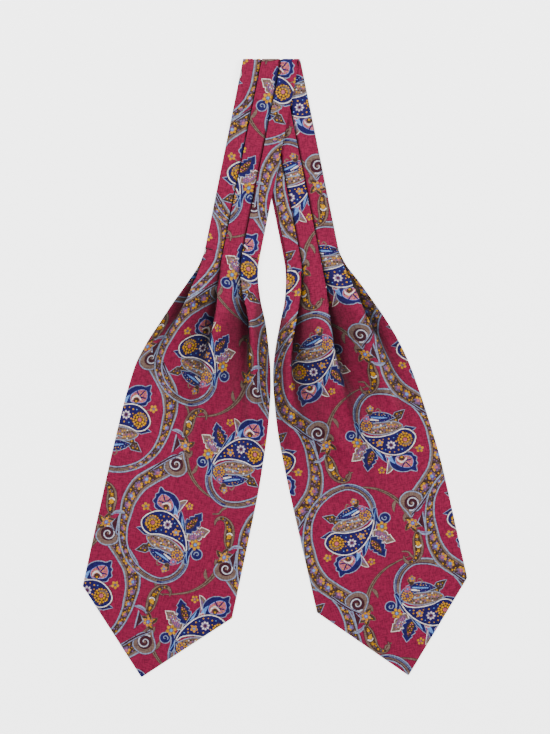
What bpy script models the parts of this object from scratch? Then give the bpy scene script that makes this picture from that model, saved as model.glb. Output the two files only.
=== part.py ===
"""Silk day cravat, folded once at the centre of its neckband and laid flat with its two blades side by side.

The cravat is one long double strip of silk. Three knife pleats gather its full width into the neckband,
a tack holds them at each end of the band, and below each tack the pleats open into a flat pointed blade.
Frame: metres, +Z up from the surface that the cravat lies on, +Y towards the fold of the neckband.
"""

import math
from typing import NamedTuple

import bpy

# Driving sizes of the cloth and of the neckband
CLOTH_WIDTH = 0.153
WALL = 0.0010
SEAM_GAP = 0.0003
BAND_WIDTH = 0.055
BAND_LENGTH = 0.1970
BAND_TILT = math.radians(11.4)
FOLD_LINE_Y = 0.3058
FOLD_CENTRE_X = -0.0029

# A pressed pleat has three layers, so its wall centres lie on three levels
LAYER_PITCH = WALL + SEAM_GAP
FOLD_RADIUS = LAYER_PITCH / 2
PLEAT_DROP = 2 * LAYER_PITCH
BAND_THICKNESS = PLEAT_DROP + WALL

# The lining panel lies under each blade's face panel
LINING_RAISE = WALL + SEAM_GAP
RAISE_LENGTH = 0.025

# The upper half of the neckband lies across the lower half and slopes down to the surface beside it
UPPER_RAISE = BAND_THICKNESS + SEAM_GAP
DRAPE_MARGIN = 0.0090
DRAPE_REACH = 0.018

# How far the hidden cloth edges lie back from the outermost fold at the tack, and where that ends
EDGE_INSET = 0.003
INSET_LENGTH = 0.025
TURN_LENGTH = 0.060

# Segments along each stretch of a section, and round the turn at the top of the neckband
BEND_STEPS = 4
CLIMB_STEPS = 4
FLAT_STEPS = 2
TURN_STEPS = 8
TURN_DRIFT_RADIUS = 0.0020



class PleatRow(NamedTuple):
    """How far a pleat has opened at a length below its tack."""

    below_tack: float
    fold_angle_deg: float
    doubled_back: float
    bend_length: float


class OutlineRow(NamedTuple):
    """A blade's half widths on each side of its centre line, at a length below its tack."""

    below_tack: float
    inner_half: float
    outer_half: float


# The angle each fold still turns through, the straight length that doubles back under it, and the
# length of cloth in each of its two bends
PLEAT_ROWS = (
    PleatRow(0.000, 180.0, 0.0150, 0.00204),
    PleatRow(0.035, 178.0, 0.0130, 0.00235),
    PleatRow(0.050, 165.0, 0.0095, 0.00265),
    PleatRow(0.062, 146.0, 0.0062, 0.00300),
    PleatRow(0.080, 108.0, 0.0030, 0.00370),
    PleatRow(0.100, 74.0, 0.0012, 0.00520),
    PleatRow(0.120, 50.0, 0.0003, 0.00680),
    PleatRow(0.140, 35.0, 0.0001, 0.00720),
    PleatRow(0.170, 19.0, 0.0001, 0.00700),
    PleatRow(0.200, 7.0, 0.0001, 0.00600),
    PleatRow(0.230, 0.5, 0.0001, 0.00520),
)

# Stations of a blade's sections, as lengths below its tack
STATIONS = (
    0.000, 0.012, 0.024, 0.035, 0.044, 0.053, 0.062, 0.071, 0.081, 0.092, 0.105,
    0.120, 0.138, 0.160, 0.185, 0.212, 0.245, 0.300, 0.345,
)

# Each half of the cravat: its side, its blade's tilt, where the pleats' folds lie from the inner edge at
# the tack and when open, how fast each opens, the blade's shoulder and point, and its outline
LEFT_HALF = {
    "name": "left",
    "side": -1,
    "tilt": math.radians(12.1),
    "folds_at_tack": (0.0165, 0.0355, 0.05435),
    "folds_when_open": (0.0165, 0.0711, 0.1225),
    "opening_rate": (1.06, 1.00, 1.22),
    "inner_inset": 0.0,
    "outer_inset": EDGE_INSET,
    "shoulder": 0.3557,
    "point": 0.4322,
    "outline": (
        OutlineRow(0.000, 0.0275, 0.0275),
        OutlineRow(0.014, 0.0292, 0.0292),
        OutlineRow(0.038, 0.0368, 0.0380),
        OutlineRow(0.060, 0.0468, 0.0474),
        OutlineRow(0.082, 0.0546, 0.0560),
        OutlineRow(0.106, 0.0618, 0.0651),
        OutlineRow(0.132, 0.0673, 0.0716),
        OutlineRow(0.180, 0.0728, 0.0748),
        OutlineRow(0.240, 0.0756, 0.0758),
        OutlineRow(0.360, 0.0760, 0.0763),
    ),
}
RIGHT_HALF = {
    "name": "right",
    "side": 1,
    "tilt": math.radians(13.0),
    "folds_at_tack": (0.0155, 0.0345, 0.0535),
    "folds_when_open": (0.0165, 0.0711, 0.1225),
    "opening_rate": (0.84, 0.78, 1.00),
    "inner_inset": EDGE_INSET,
    "outer_inset": 0.0,
    "shoulder": 0.3502,
    "point": 0.4318,
    "outline": (
        OutlineRow(0.000, 0.0275, 0.0275),
        OutlineRow(0.014, 0.0292, 0.0302),
        OutlineRow(0.038, 0.0356, 0.0405),
        OutlineRow(0.060, 0.0456, 0.0496),
        OutlineRow(0.082, 0.0552, 0.0583),
        OutlineRow(0.106, 0.0635, 0.0658),
        OutlineRow(0.132, 0.0685, 0.0712),
        OutlineRow(0.180, 0.0733, 0.0765),
        OutlineRow(0.240, 0.0746, 0.0798),
        OutlineRow(0.360, 0.0748, 0.0790),
    ),
}


def ease(share):
    """0 to 1 with a level start and end."""
    share = min(1.0, max(0.0, share))
    return share * share * (3 - 2 * share)


def lookup(rows, column, place):
    """A named column of a table at a length below the tack, on a smooth curve that never overshoots."""
    places = [row.below_tack for row in rows]
    values = [row._asdict()[column] for row in rows]
    if place <= places[0]:
        return values[0]
    if place >= places[-1]:
        return values[-1]
    slopes = [
        (values[i + 1] - values[i]) / (places[i + 1] - places[i]) for i in range(len(rows) - 1)
    ]
    index = next(i for i in range(len(slopes)) if place < places[i + 1])

    def tangent(i):
        if i in (0, len(slopes)) or slopes[i - 1] * slopes[i] <= 0:
            return 0.0
        return 2 * slopes[i - 1] * slopes[i] / (slopes[i - 1] + slopes[i])

    span = places[index + 1] - places[index]
    share = (place - places[index]) / span
    return (
        values[index] * (1 + 2 * share) * (1 - share) ** 2
        + values[index + 1] * share**2 * (3 - 2 * share)
        + span * tangent(index) * share * (1 - share) ** 2
        - span * tangent(index + 1) * share**2 * (1 - share)
    )


def climb(start, end, steps):
    """Points from start to end, both heading outward, along two equal bends. Leaves start out."""
    run, rise = end[0] - start[0], end[1] - start[1]
    turn = 2 * math.atan2(abs(rise), run)
    if turn < 1e-4:
        return [
            (start[0] + run * i / steps, start[1] + rise * i / steps)
            for i in range(1, steps + 1)
        ]
    radius = run / (2 * math.sin(turn))
    sign = math.copysign(1.0, rise)
    points = []
    for i in range(1, steps + 1):
        share = 2 * i / steps
        angle = turn * min(share, 2 - share)
        along, up = radius * math.sin(angle), sign * radius * (1 - math.cos(angle))
        if share <= 1:
            points.append((start[0] + along, start[1] + up))
        else:
            points.append((end[0] - along, end[1] - up))
    return points


def pleat_fold(crest, angle, doubled_back, bend_length):
    """Points from a crest at (across, height) over its fold and back out to the surface. Leaves the crest out."""
    radius = bend_length / angle
    valley = crest[0] + 2 * radius * math.sin(angle) + doubled_back * math.cos(angle)
    points = []
    for i in range(1, BEND_STEPS + 1):
        turned = angle * i / BEND_STEPS
        points.append(
            (
                crest[0] + radius * math.sin(turned),
                crest[1] - radius + radius * math.cos(turned),
            )
        )
    for i in range(BEND_STEPS, -1, -1):
        turned = angle * i / BEND_STEPS
        points.append(
            (valley - radius * math.sin(turned), radius - radius * math.cos(turned))
        )
    return points


def half_widths(half, place):
    """A half's widths on the inner and outer side of its centre line, at a length below its tack."""
    return (
        lookup(half["outline"], "inner_half", place),
        lookup(half["outline"], "outer_half", place),
    )


def pleat_state(place):
    """Fold angle, doubled back length, bend length and height of a pleat at a length below the tack."""
    angle = math.radians(lookup(PLEAT_ROWS, "fold_angle_deg", place))
    doubled_back = lookup(PLEAT_ROWS, "doubled_back", place)
    bend_length = lookup(PLEAT_ROWS, "bend_length", place)
    radius = bend_length / angle
    height = doubled_back * math.sin(angle) + 2 * radius * (1 - math.cos(angle))
    return angle, doubled_back, bend_length, height


def section(half, place):
    """The wall's centre line across a half at a length below its tack: (outward from the inner edge, height)."""
    width = sum(half_widths(half, place))
    opened = (width - BAND_WIDTH) / (CLOTH_WIDTH - BAND_WIDTH)
    inset_left = 1 - ease(place / INSET_LENGTH)
    start = half["inner_inset"] * inset_left
    end = width - half["outer_inset"] * inset_left
    pleats = []
    for tacked, flat, rate in zip(
        half["folds_at_tack"], half["folds_when_open"], half["opening_rate"]
    ):
        crest = tacked + (flat - tacked) * opened
        pleats.append((crest, *pleat_state(place * rate)))
    _, angle, doubled_back, bend_length, height = pleats[0]
    radius = bend_length / angle
    edge_height = height * (1 - ease(place / TURN_LENGTH))
    first_valley = (
        pleats[0][0]
        + 2 * radius * math.sin(angle)
        + doubled_back * math.cos(angle)
    )
    top_start = max(start + WALL, min(first_valley, pleats[0][0] - WALL))
    points = [(start, edge_height)]
    points += climb((start, edge_height), (top_start, height), CLIMB_STEPS)
    for index, (crest, angle, doubled_back, bend_length, height) in enumerate(pleats):
        points += flat_run(points[-1], (crest, height), FLAT_STEPS)
        points += pleat_fold((crest, height), angle, doubled_back, bend_length)
        if index + 1 < len(pleats):
            low_end = max(crest, points[-1][0] + WALL)
            points += flat_run(points[-1], (low_end, 0.0), 1)
            next_crest, next_angle, next_back, next_bend, next_height = pleats[index + 1]
            next_valley = (
                next_crest
                + 2 * next_bend / next_angle * math.sin(next_angle)
                + next_back * math.cos(next_angle)
            )
            high_start = min(next_valley, next_crest - WALL)
            points += climb((low_end, 0.0), (high_start, next_height), CLIMB_STEPS)
    points += flat_run(points[-1], (end, 0.0), FLAT_STEPS + 1)
    return points


def flat_run(start, end, steps):
    """Evenly spaced points on the straight line from start to end. Leaves start out."""
    return [
        (
            start[0] + (end[0] - start[0]) * i / steps,
            start[1] + (end[1] - start[1]) * i / steps,
        )
        for i in range(1, steps + 1)
    ]


def wall_sides(points):
    """The two faces of a wall along a centre line: points half a wall up and half a wall down its normal."""
    upper, lower = [], []
    last = len(points) - 1
    for i, (across, height) in enumerate(points):
        before, after = points[max(0, i - 1)], points[min(last, i + 1)]
        run, rise = after[0] - before[0], after[1] - before[1]
        length = math.hypot(run, rise)
        normal = (-rise / length, run / length)
        upper.append((across + normal[0] * WALL / 2, height + normal[1] * WALL / 2))
        lower.append((across - normal[0] * WALL / 2, height - normal[1] * WALL / 2))
    return upper, lower


def outward(half, angle):
    return half["side"] * math.cos(angle), math.sin(angle)


def downward(half, angle):
    return half["side"] * math.sin(angle), -math.cos(angle)


def fold_centre(half):
    """Where a half's centre line meets the fold line: the strip drifts sideways as it turns over."""
    drift = math.pi * TURN_DRIFT_RADIUS * math.tan(BAND_TILT) / 2
    return FOLD_CENTRE_X + half["side"] * drift, FOLD_LINE_Y


def band_place(half, along, across):
    """Plan position on the neckband, at a length from the fold and a distance from its centre line."""
    centre = fold_centre(half)
    down, out = downward(half, BAND_TILT), outward(half, BAND_TILT)
    return (
        centre[0] + down[0] * along + out[0] * across,
        centre[1] + down[1] * along + out[1] * across,
    )


def blade_place(half, place, across):
    """Plan position on a blade, at a length below its tack and a distance outward from its centre line."""
    tack = band_place(half, BAND_LENGTH, 0.0)
    down = downward(half, half["tilt"])
    turned = BAND_TILT + (half["tilt"] - BAND_TILT) * ease(place / TURN_LENGTH)
    out = outward(half, turned)
    return (
        tack[0] + down[0] * place + out[0] * across,
        tack[1] + down[1] * place + out[1] * across,
    )


def drape_raise(x, y):
    """How high the lower half of the neckband holds up what lies over it at a plan position."""
    centre = fold_centre(RIGHT_HALF)
    out = outward(RIGHT_HALF, BAND_TILT)
    from_inner = (x - centre[0]) * out[0] + (y - centre[1]) * out[1] + BAND_WIDTH / 2
    outside = max(0.0, -DRAPE_MARGIN - from_inner)
    return UPPER_RAISE * (1 - ease(outside / DRAPE_REACH))


def band_row(half, along, skew, upper_half):
    """Both faces of the neckband's wall on one line across it. A skew of 1 lays the line along the fold."""
    sides = []
    for side in wall_sides(section(half, 0.0)):
        row = []
        for across, height in side:
            centred = across - BAND_WIDTH / 2
            x, y = band_place(half, along + skew * centred * math.tan(BAND_TILT), centred)
            raised = LINING_RAISE * ease(1 - (BAND_LENGTH - along) / RAISE_LENGTH)
            if upper_half:
                raised += drape_raise(x, y) * (1 - raised / UPPER_RAISE)
            row.append((x, y, raised + height + WALL / 2))
        sides.append(row)
    return sides


def turn_row(half, share):
    """Both faces of the wall part way round the turn at the top: 0 at the upper half, 1 at the lower."""
    centre = fold_centre(half)
    angle = math.pi * share
    sides = []
    for side in wall_sides(section(half, 0.0)):
        row = []
        for across, height in side:
            radius = SEAM_GAP / 2 + WALL / 2 + height
            x = centre[0] + half["side"] * (across - BAND_WIDTH / 2) / math.cos(BAND_TILT)
            drift = TURN_DRIFT_RADIUS * angle * math.tan(BAND_TILT)
            row.append(
                (
                    x + drift,
                    FOLD_LINE_Y + radius * math.sin(angle),
                    BAND_THICKNESS + SEAM_GAP / 2 + radius * math.cos(angle),
                )
            )
        sides.append(row)
    return sides


def face_row(half, place):
    """Both faces of a blade's face panel at a length below the tack."""
    inner, _ = half_widths(half, place)
    sides = []
    for side in wall_sides(section(half, place)):
        row = []
        for across, height in side:
            x, y = blade_place(half, place, across - inner)
            row.append((x, y, LINING_RAISE + height + WALL / 2))
        sides.append(row)
    return sides


def point_place(half, across):
    """How far below the tack the pointed end lies at a distance outward from the centre line."""
    inner, outer = half_widths(half, half["shoulder"])
    share = min(1.0, abs(across) / (inner if across < 0 else outer))
    return half["point"] - (half["point"] - half["shoulder"]) * share


def point_row(half):
    """Both faces of the face panel along the blade's pointed end, with one point on its tip."""
    inner, _ = half_widths(half, half["shoulder"])
    sides = []
    for side in wall_sides(section(half, half["shoulder"])):
        centred = [across - inner for across, _ in side]
        nearest = min(range(len(centred)), key=lambda i: abs(centred[i]))
        centred[nearest] = 0.0
        row = []
        for across, (_, height) in zip(centred, side):
            x, y = blade_place(half, point_place(half, across), across)
            row.append((x, y, LINING_RAISE + height + WALL / 2))
        sides.append(row)
    return sides


def silk_material():
    """Crimson silk: soft sheen, no metal."""
    material = bpy.data.materials.new("printed_silk")
    material.use_nodes = True
    shader = material.node_tree.nodes["Principled BSDF"]
    shader.inputs["Base Color"].default_value = (0.42, 0.018, 0.075, 1.0)
    shader.inputs["Roughness"].default_value = 0.5
    shader.inputs["Metallic"].default_value = 0.0
    return material


def wall_object(name, rows, material):
    """A closed wall from rows of (upper face points, lower face points), lofted and closed all round."""
    columns = len(rows[0][0])
    vertices = [point for upper, lower in rows for point in (*upper, *lower)]

    def upper_at(row, column):
        return row * 2 * columns + column

    def lower_at(row, column):
        return upper_at(row, column) + columns

    faces = []
    last_row, last_column = len(rows) - 1, columns - 1
    for row in range(last_row):
        for column in range(last_column):
            corners = ((row, column), (row + 1, column), (row + 1, column + 1), (row, column + 1))
            faces.append([upper_at(*corner) for corner in corners])
            faces.append([lower_at(*corner) for corner in reversed(corners)])
        for column in (0, last_column):
            rim = [
                upper_at(row, column),
                lower_at(row, column),
                lower_at(row + 1, column),
                upper_at(row + 1, column),
            ]
            faces.append(rim if column == 0 else rim[::-1])
    for row in (0, last_row):
        for column in range(last_column):
            rim = [
                upper_at(row, column),
                upper_at(row, column + 1),
                lower_at(row, column + 1),
                lower_at(row, column),
            ]
            faces.append(rim if row == 0 else rim[::-1])
    mesh = bpy.data.meshes.new(name)
    mesh.from_pydata(vertices, [], faces)
    if signed_volume(mesh) < 0:
        mesh.flip_normals()
    mesh.materials.append(material)
    mesh.shade_smooth()
    mesh.set_sharp_from_angle(angle=math.radians(50))
    made = bpy.data.objects.new(name, mesh)
    bpy.context.scene.collection.objects.link(made)
    return made


def signed_volume(mesh):
    """Six times the volume that a closed mesh holds: below zero where its faces point inwards."""
    total = 0.0
    mesh.calc_loop_triangles()
    for triangle in mesh.loop_triangles:
        a, b, c = (mesh.vertices[i].co for i in triangle.vertices)
        total += a.dot(b.cross(c))
    return total


def neckband_upper(material):
    """The half of the neckband that lies on top, with the turn at the centre back."""
    lengths = (BAND_LENGTH, 0.184, 0.170, 0.152, 0.134, 0.116, 0.098, 0.080, 0.062, 0.044, 0.028, 0.014, 0.0)
    rows = []
    for along in lengths:
        skew = ease(1 - along / (BAND_LENGTH - RAISE_LENGTH))
        rows.append(band_row(LEFT_HALF, along, skew, True))
    for step in range(1, TURN_STEPS + 1):
        rows.append(turn_row(LEFT_HALF, step / TURN_STEPS))
    return wall_object("neckband_left", rows, material)


def neckband_lower(material):
    """The half of the neckband that lies on the surface, under the other."""
    rows = []
    for along in (SEAM_GAP, 0.090, BAND_LENGTH - RAISE_LENGTH, 0.180, 0.188, BAND_LENGTH):
        skew = ease(1 - along / (BAND_LENGTH - RAISE_LENGTH))
        rows.append(band_row(RIGHT_HALF, along, skew, False))
    return wall_object("neckband_right", rows, material)


def face_panel(half, material):
    """The face of a blade: pleats that start in the tack and open into the flat pointed end."""
    rows = [face_row(half, SEAM_GAP + station) for station in STATIONS]
    rows.append(point_row(half))
    return wall_object(f"blade_{half['name']}_face", rows, material)


def lining_panel(half, material):
    """The lining of a blade: a flat panel with the same outline, which lies on the surface."""
    rows = []
    shares = (0.0, 0.25, 0.5, 0.75, 1.0)
    for station in (*STATIONS, half["shoulder"]):
        place = station + SEAM_GAP
        inner, outer = half_widths(half, place)
        edges = [-inner + (inner + outer) * share for share in shares]
        edges[2] = 0.0
        if station == half["shoulder"]:
            plan = [blade_place(half, point_place(half, across), across) for across in edges]
        else:
            plan = [blade_place(half, place, across) for across in edges]
        rows.append(([(x, y, WALL) for x, y in plan], [(x, y, 0.0) for x, y in plan]))
    return wall_object(f"blade_{half['name']}_lining", rows, material)


def centre_on_origin(objects):
    """Moves every mesh so that the whole cravat's box is centred on the origin in plan."""
    points = [vertex.co for made in objects for vertex in made.data.vertices]
    shift = [-(min(p[i] for p in points) + max(p[i] for p in points)) / 2 for i in (0, 1)]
    for made in objects:
        for vertex in made.data.vertices:
            vertex.co.x += shift[0]
            vertex.co.y += shift[1]


def main():
    for existing in list(bpy.data.objects):
        bpy.data.objects.remove(existing)
    material = silk_material()
    pieces = [neckband_upper(material), neckband_lower(material)]
    for half in (LEFT_HALF, RIGHT_HALF):
        pieces.append(face_panel(half, material))
        pieces.append(lining_panel(half, material))
    centre_on_origin(pieces)


main()
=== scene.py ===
"""Looks of the silk cravat: pleated cloth shells, a paisley and scroll print, stitches, light and camera.

Cloth is worked out in its own flat coordinates, in millimetres: u runs across the strip from the free
inner edge, v runs down from the tack at the foot of the neckband. A form class lays each half of the
strip on its solids, so the print bends, folds and hides in the pleats as real cloth does.
"""
import logging
import math
from dataclasses import dataclass, field
from enum import Enum
from typing import Callable, Iterable, NamedTuple, Sequence

import bpy
import numpy as np
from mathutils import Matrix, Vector
from mathutils.geometry import delaunay_2d_cdt


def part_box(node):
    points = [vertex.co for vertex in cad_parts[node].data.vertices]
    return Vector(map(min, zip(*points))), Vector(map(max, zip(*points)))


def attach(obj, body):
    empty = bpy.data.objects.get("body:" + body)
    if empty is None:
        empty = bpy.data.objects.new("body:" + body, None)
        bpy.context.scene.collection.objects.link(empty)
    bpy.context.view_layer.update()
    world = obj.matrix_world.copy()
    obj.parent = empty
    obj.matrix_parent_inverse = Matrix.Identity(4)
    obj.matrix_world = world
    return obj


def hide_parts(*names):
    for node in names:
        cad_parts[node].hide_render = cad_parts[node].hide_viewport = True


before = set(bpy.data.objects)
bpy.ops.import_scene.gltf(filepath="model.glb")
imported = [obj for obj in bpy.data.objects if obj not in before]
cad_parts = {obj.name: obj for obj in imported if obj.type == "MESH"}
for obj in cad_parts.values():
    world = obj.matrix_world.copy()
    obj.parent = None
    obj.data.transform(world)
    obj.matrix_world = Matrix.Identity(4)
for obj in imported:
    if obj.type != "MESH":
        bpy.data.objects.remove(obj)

LOG = logging.getLogger("cravat")
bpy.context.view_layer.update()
MM = 0.001
WHITE = (1.0, 1.0, 1.0, 1.0)
# Smallest length that a division may use
TINY = 1e-9
# How near two places of a flat sheet may be before they become one, in millimetres
MERGE_WITHIN = 1e-5
# The triangulation's mode that leaves out what lies outside every outline
INSIDE_ONLY = 1
# An outline with fewer corners than this is a dot
DOT_LIMIT = 8


def linear(red: int, green: int, blue: int) -> tuple[float, float, float, float]:
    """Turn a display colour of 0 to 255 into linear light, with full alpha."""
    values = []
    for part in (red, green, blue):
        share = part / 255
        values.append(share / 12.92 if share <= 0.04045 else ((share + 0.055) / 1.055) ** 2.4)
    return (*values, 1.0)


class Ink(Enum):
    """Colours of the print."""

    CRIMSON = linear(150, 30, 70)
    NAVY = linear(33, 26, 96)
    PERIWINKLE = linear(146, 160, 190)
    TAUPE = linear(128, 104, 92)
    MAROON = linear(73, 30, 42)
    OCHRE = linear(226, 160, 0)
    PINK = linear(204, 106, 122)
    IVORY = linear(255, 246, 238)
    SKY = linear(112, 162, 236)
    MAUVE = linear(120, 88, 136)
    BROWN = linear(75, 56, 45)


class Side(Enum):
    """Which half of the cravat: the sign of its outward direction along X."""

    LEFT = -1
    RIGHT = 1


Pair = tuple[float, float]


class Shape(NamedTuple):
    """One printed area: a closed outline in flat coordinates and its ink."""

    outline: np.ndarray
    ink: Ink


def smooth_path(points: Sequence[Sequence[float]], steps: int = 5, closed: bool = False) -> np.ndarray:
    """Draw a smooth curve through points of any number of columns.

    Args:
        points: Places that the curve passes through, in order.
        steps: Segments between two places.
        closed: Whether the curve runs on from the last place to the first.

    Returns:
        The curve's points, one row each. A closed curve doesn't repeat its first one.
    """
    given = np.asarray(points, float)
    if closed:
        padded = np.vstack([given[-1], given, given[:2]])
    else:
        padded = np.vstack([2 * given[0] - given[1], given, 2 * given[-1] - given[-2]])
    rows = [
        catmull(*padded[i : i + 4], share)
        for i in range(len(padded) - 3)
        for share in np.arange(steps) / steps
    ]
    if not closed:
        rows.append(given[-1])
    return np.array(rows)


def smooth_loop(points: Sequence[Sequence[float]], steps: int = 5) -> np.ndarray:
    """Draw a smooth closed curve through points."""
    return smooth_path(points, steps, True)


def catmull(a: np.ndarray, b: np.ndarray, c: np.ndarray, d: np.ndarray, share: float) -> np.ndarray:
    """Blend four neighbouring points into one on the curve between b and c."""
    return 0.5 * (
        2 * b
        + (c - a) * share
        + (2 * a - 5 * b + 4 * c - d) * share**2
        + (3 * b - a - 3 * c + d) * share**3
    )


def normals_of(path: np.ndarray, closed: bool) -> np.ndarray:
    """Left-hand unit normals of a flat path."""
    if closed:
        ahead = np.roll(path, -1, axis=0) - np.roll(path, 1, axis=0)
    else:
        ahead = np.gradient(path, axis=0)
    length = np.maximum(np.hypot(ahead[:, 0], ahead[:, 1]), TINY)
    return np.column_stack([-ahead[:, 1], ahead[:, 0]]) / length[:, None]


def signed_area(outline: np.ndarray) -> float:
    """Area inside a closed outline, above zero where it runs anticlockwise."""
    x, y = outline[:, 0], outline[:, 1]
    return 0.5 * float(np.sum(x * np.roll(y, -1) - np.roll(x, -1) * y))


def grown(outline: np.ndarray, by: float) -> np.ndarray:
    """Move a closed outline outward by a distance."""
    sign = -1.0 if signed_area(outline) > 0 else 1.0
    return outline + sign * by * normals_of(outline, True)


def simplified(path: np.ndarray, tolerance: float = 0.13) -> np.ndarray:
    """Drop the points of an open path that lie almost on the line between their neighbours."""
    if len(path) < 3:
        return path
    start, way = path[0], path[-1] - path[0]
    length = max(float(np.hypot(*way)), TINY)
    offset = path - start
    gaps = np.abs(offset[:, 0] * way[1] - offset[:, 1] * way[0]) / length
    if length < 1e-6:
        gaps = np.hypot(offset[:, 0], offset[:, 1])
    far = int(np.argmax(gaps[1:-1])) + 1
    if gaps[far] < tolerance:
        return path[[0, -1]]
    before, after = simplified(path[: far + 1], tolerance), simplified(path[far:], tolerance)
    return np.vstack([before[:-1], after])


def ribbon(points: Sequence[Sequence[float]], steps: int = 5) -> np.ndarray:
    """Outline a ribbon of changing width.

    Args:
        points: Rows of x, y and the ribbon's width there.
        steps: Segments between two rows.

    Returns:
        The ribbon's closed outline.
    """
    path = smooth_path(points, steps)
    line, half = path[:, :2], np.maximum(path[:, 2:3], 0.05) / 2
    sideways = normals_of(line, False) * half
    return np.vstack([line + sideways, (line - sideways)[::-1]])


def wider(rows: Sequence[Sequence[float]], by: float = 0.0, times: float = 1.0) -> list[tuple[float, ...]]:
    """Change the width in each row of a ribbon."""
    return [(x, y, width * times + by) for x, y, width in rows]


def alongside(path: np.ndarray, side: np.ndarray, shift: float, width: np.ndarray) -> np.ndarray:
    """Rows of a ribbon that runs to the left of a wider one, by a share of that one's width."""
    return np.column_stack([path[:, :2] + side * path[:, 2:3] * shift, width])


def disc(centre: Sequence[float], radius: float, sides: int = 8) -> np.ndarray:
    """Outline a round dot."""
    angles = np.arange(sides) * 2 * math.pi / sides + 0.3
    return np.column_stack([centre[0] + radius * np.cos(angles), centre[1] + radius * np.sin(angles)])


def scalloped(centre: Sequence[float], radius: float, petals: int, depth: float = 0.22) -> np.ndarray:
    """Outline a flower of round petals."""
    steps, first = (4, 0.0) if radius > 4 else (3, 0.5)
    angles = (np.arange(petals * steps) + first) * 2 * math.pi / (petals * steps)
    reach = radius * (1 - depth + depth * np.abs(np.sin(angles * petals / 2)) * 2 - depth)
    return np.column_stack([centre[0] + reach * np.cos(angles), centre[1] + reach * np.sin(angles)])


def leaf(base: Sequence[float], tip: Sequence[float], width: float, bend: float = 0.0,
         teeth: int = 0) -> np.ndarray:
    """Outline a pointed leaf.

    Args:
        base: Where the leaf joins its stem.
        tip: Its point.
        width: Its greatest width.
        bend: How far its middle bows to the left of the way from base to tip.
        teeth: Teeth along each edge.

    Returns:
        The leaf's closed outline.
    """
    start, end = np.asarray(base, float), np.asarray(tip, float)
    along = end - start
    left = np.array([-along[1], along[0]]) / np.hypot(*along)
    count = max(9, teeth * 3)
    share = np.linspace(0, 1, count)
    middle = start + share[:, None] * along + (bend * 4 * share * (1 - share))[:, None] * left
    half = width / 2 * np.sin(math.pi * share**0.75) ** 0.8
    if teeth:
        half = half * (1 + 0.24 * np.cos(2 * math.pi * teeth * share))
    sideways = normals_of(middle, False) * half[:, None]
    return np.vstack([middle + sideways, (middle - sideways)[-2:0:-1]])


def spiral(centre: Sequence[float], start_angle: float, outer: float, inner: float, turns: float,
           width: float) -> np.ndarray:
    """Outline a ribbon wound in a spiral, from outside to inside.

    Args:
        centre: Middle of the spiral.
        start_angle: Angle of its outer end, in degrees.
        outer: Radius of its outer end.
        inner: Radius of its inner end.
        turns: Turns from end to end, below zero for clockwise.
        width: Width of the ribbon at its outer end.

    Returns:
        The ribbon's closed outline.
    """
    count = int(abs(turns) * 12) + 4
    share = np.linspace(0, 1, count)
    angle = math.radians(start_angle) + 2 * math.pi * turns * share
    radius = outer + (inner - outer) * share
    rows = np.column_stack([
        centre[0] + radius * np.cos(angle),
        centre[1] + radius * np.sin(angle),
        width * (1 - 0.45 * share),
    ])
    return ribbon(rows, 1)


def inside(outline: np.ndarray, places: np.ndarray) -> np.ndarray:
    """Tell which places lie inside a closed outline."""
    result = np.zeros(len(places), bool)
    x, y = places[:, 0], places[:, 1]
    for (ax, ay), (bx, by) in zip(outline, np.roll(outline, -1, axis=0)):
        crosses = (ay > y) != (by > y)
        with np.errstate(divide="ignore", invalid="ignore"):
            cut = ax + (y - ay) * (bx - ax) / (by - ay)
        result ^= crosses & (x < cut)
    return result


def uncovered(shapes: Sequence[Shape]) -> list[Shape]:
    """Leave out each dot that lies wholly under an area printed after it."""
    lows = np.array([shape.outline.min(axis=0) for shape in shapes])
    highs = np.array([shape.outline.max(axis=0) for shape in shapes])
    kept = []
    for index, shape in enumerate(shapes):
        hidden = False
        if len(shape.outline) < DOT_LIMIT:
            after = index + 1
            below = (lows[after:] <= lows[index]).all(axis=1)
            above = (highs[after:] >= highs[index]).all(axis=1)
            later = np.flatnonzero(below & above) + after
            hidden = any(inside(shapes[other].outline, shape.outline).all() for other in later)
        if not hidden:
            kept.append(shape)
    return kept


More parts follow.
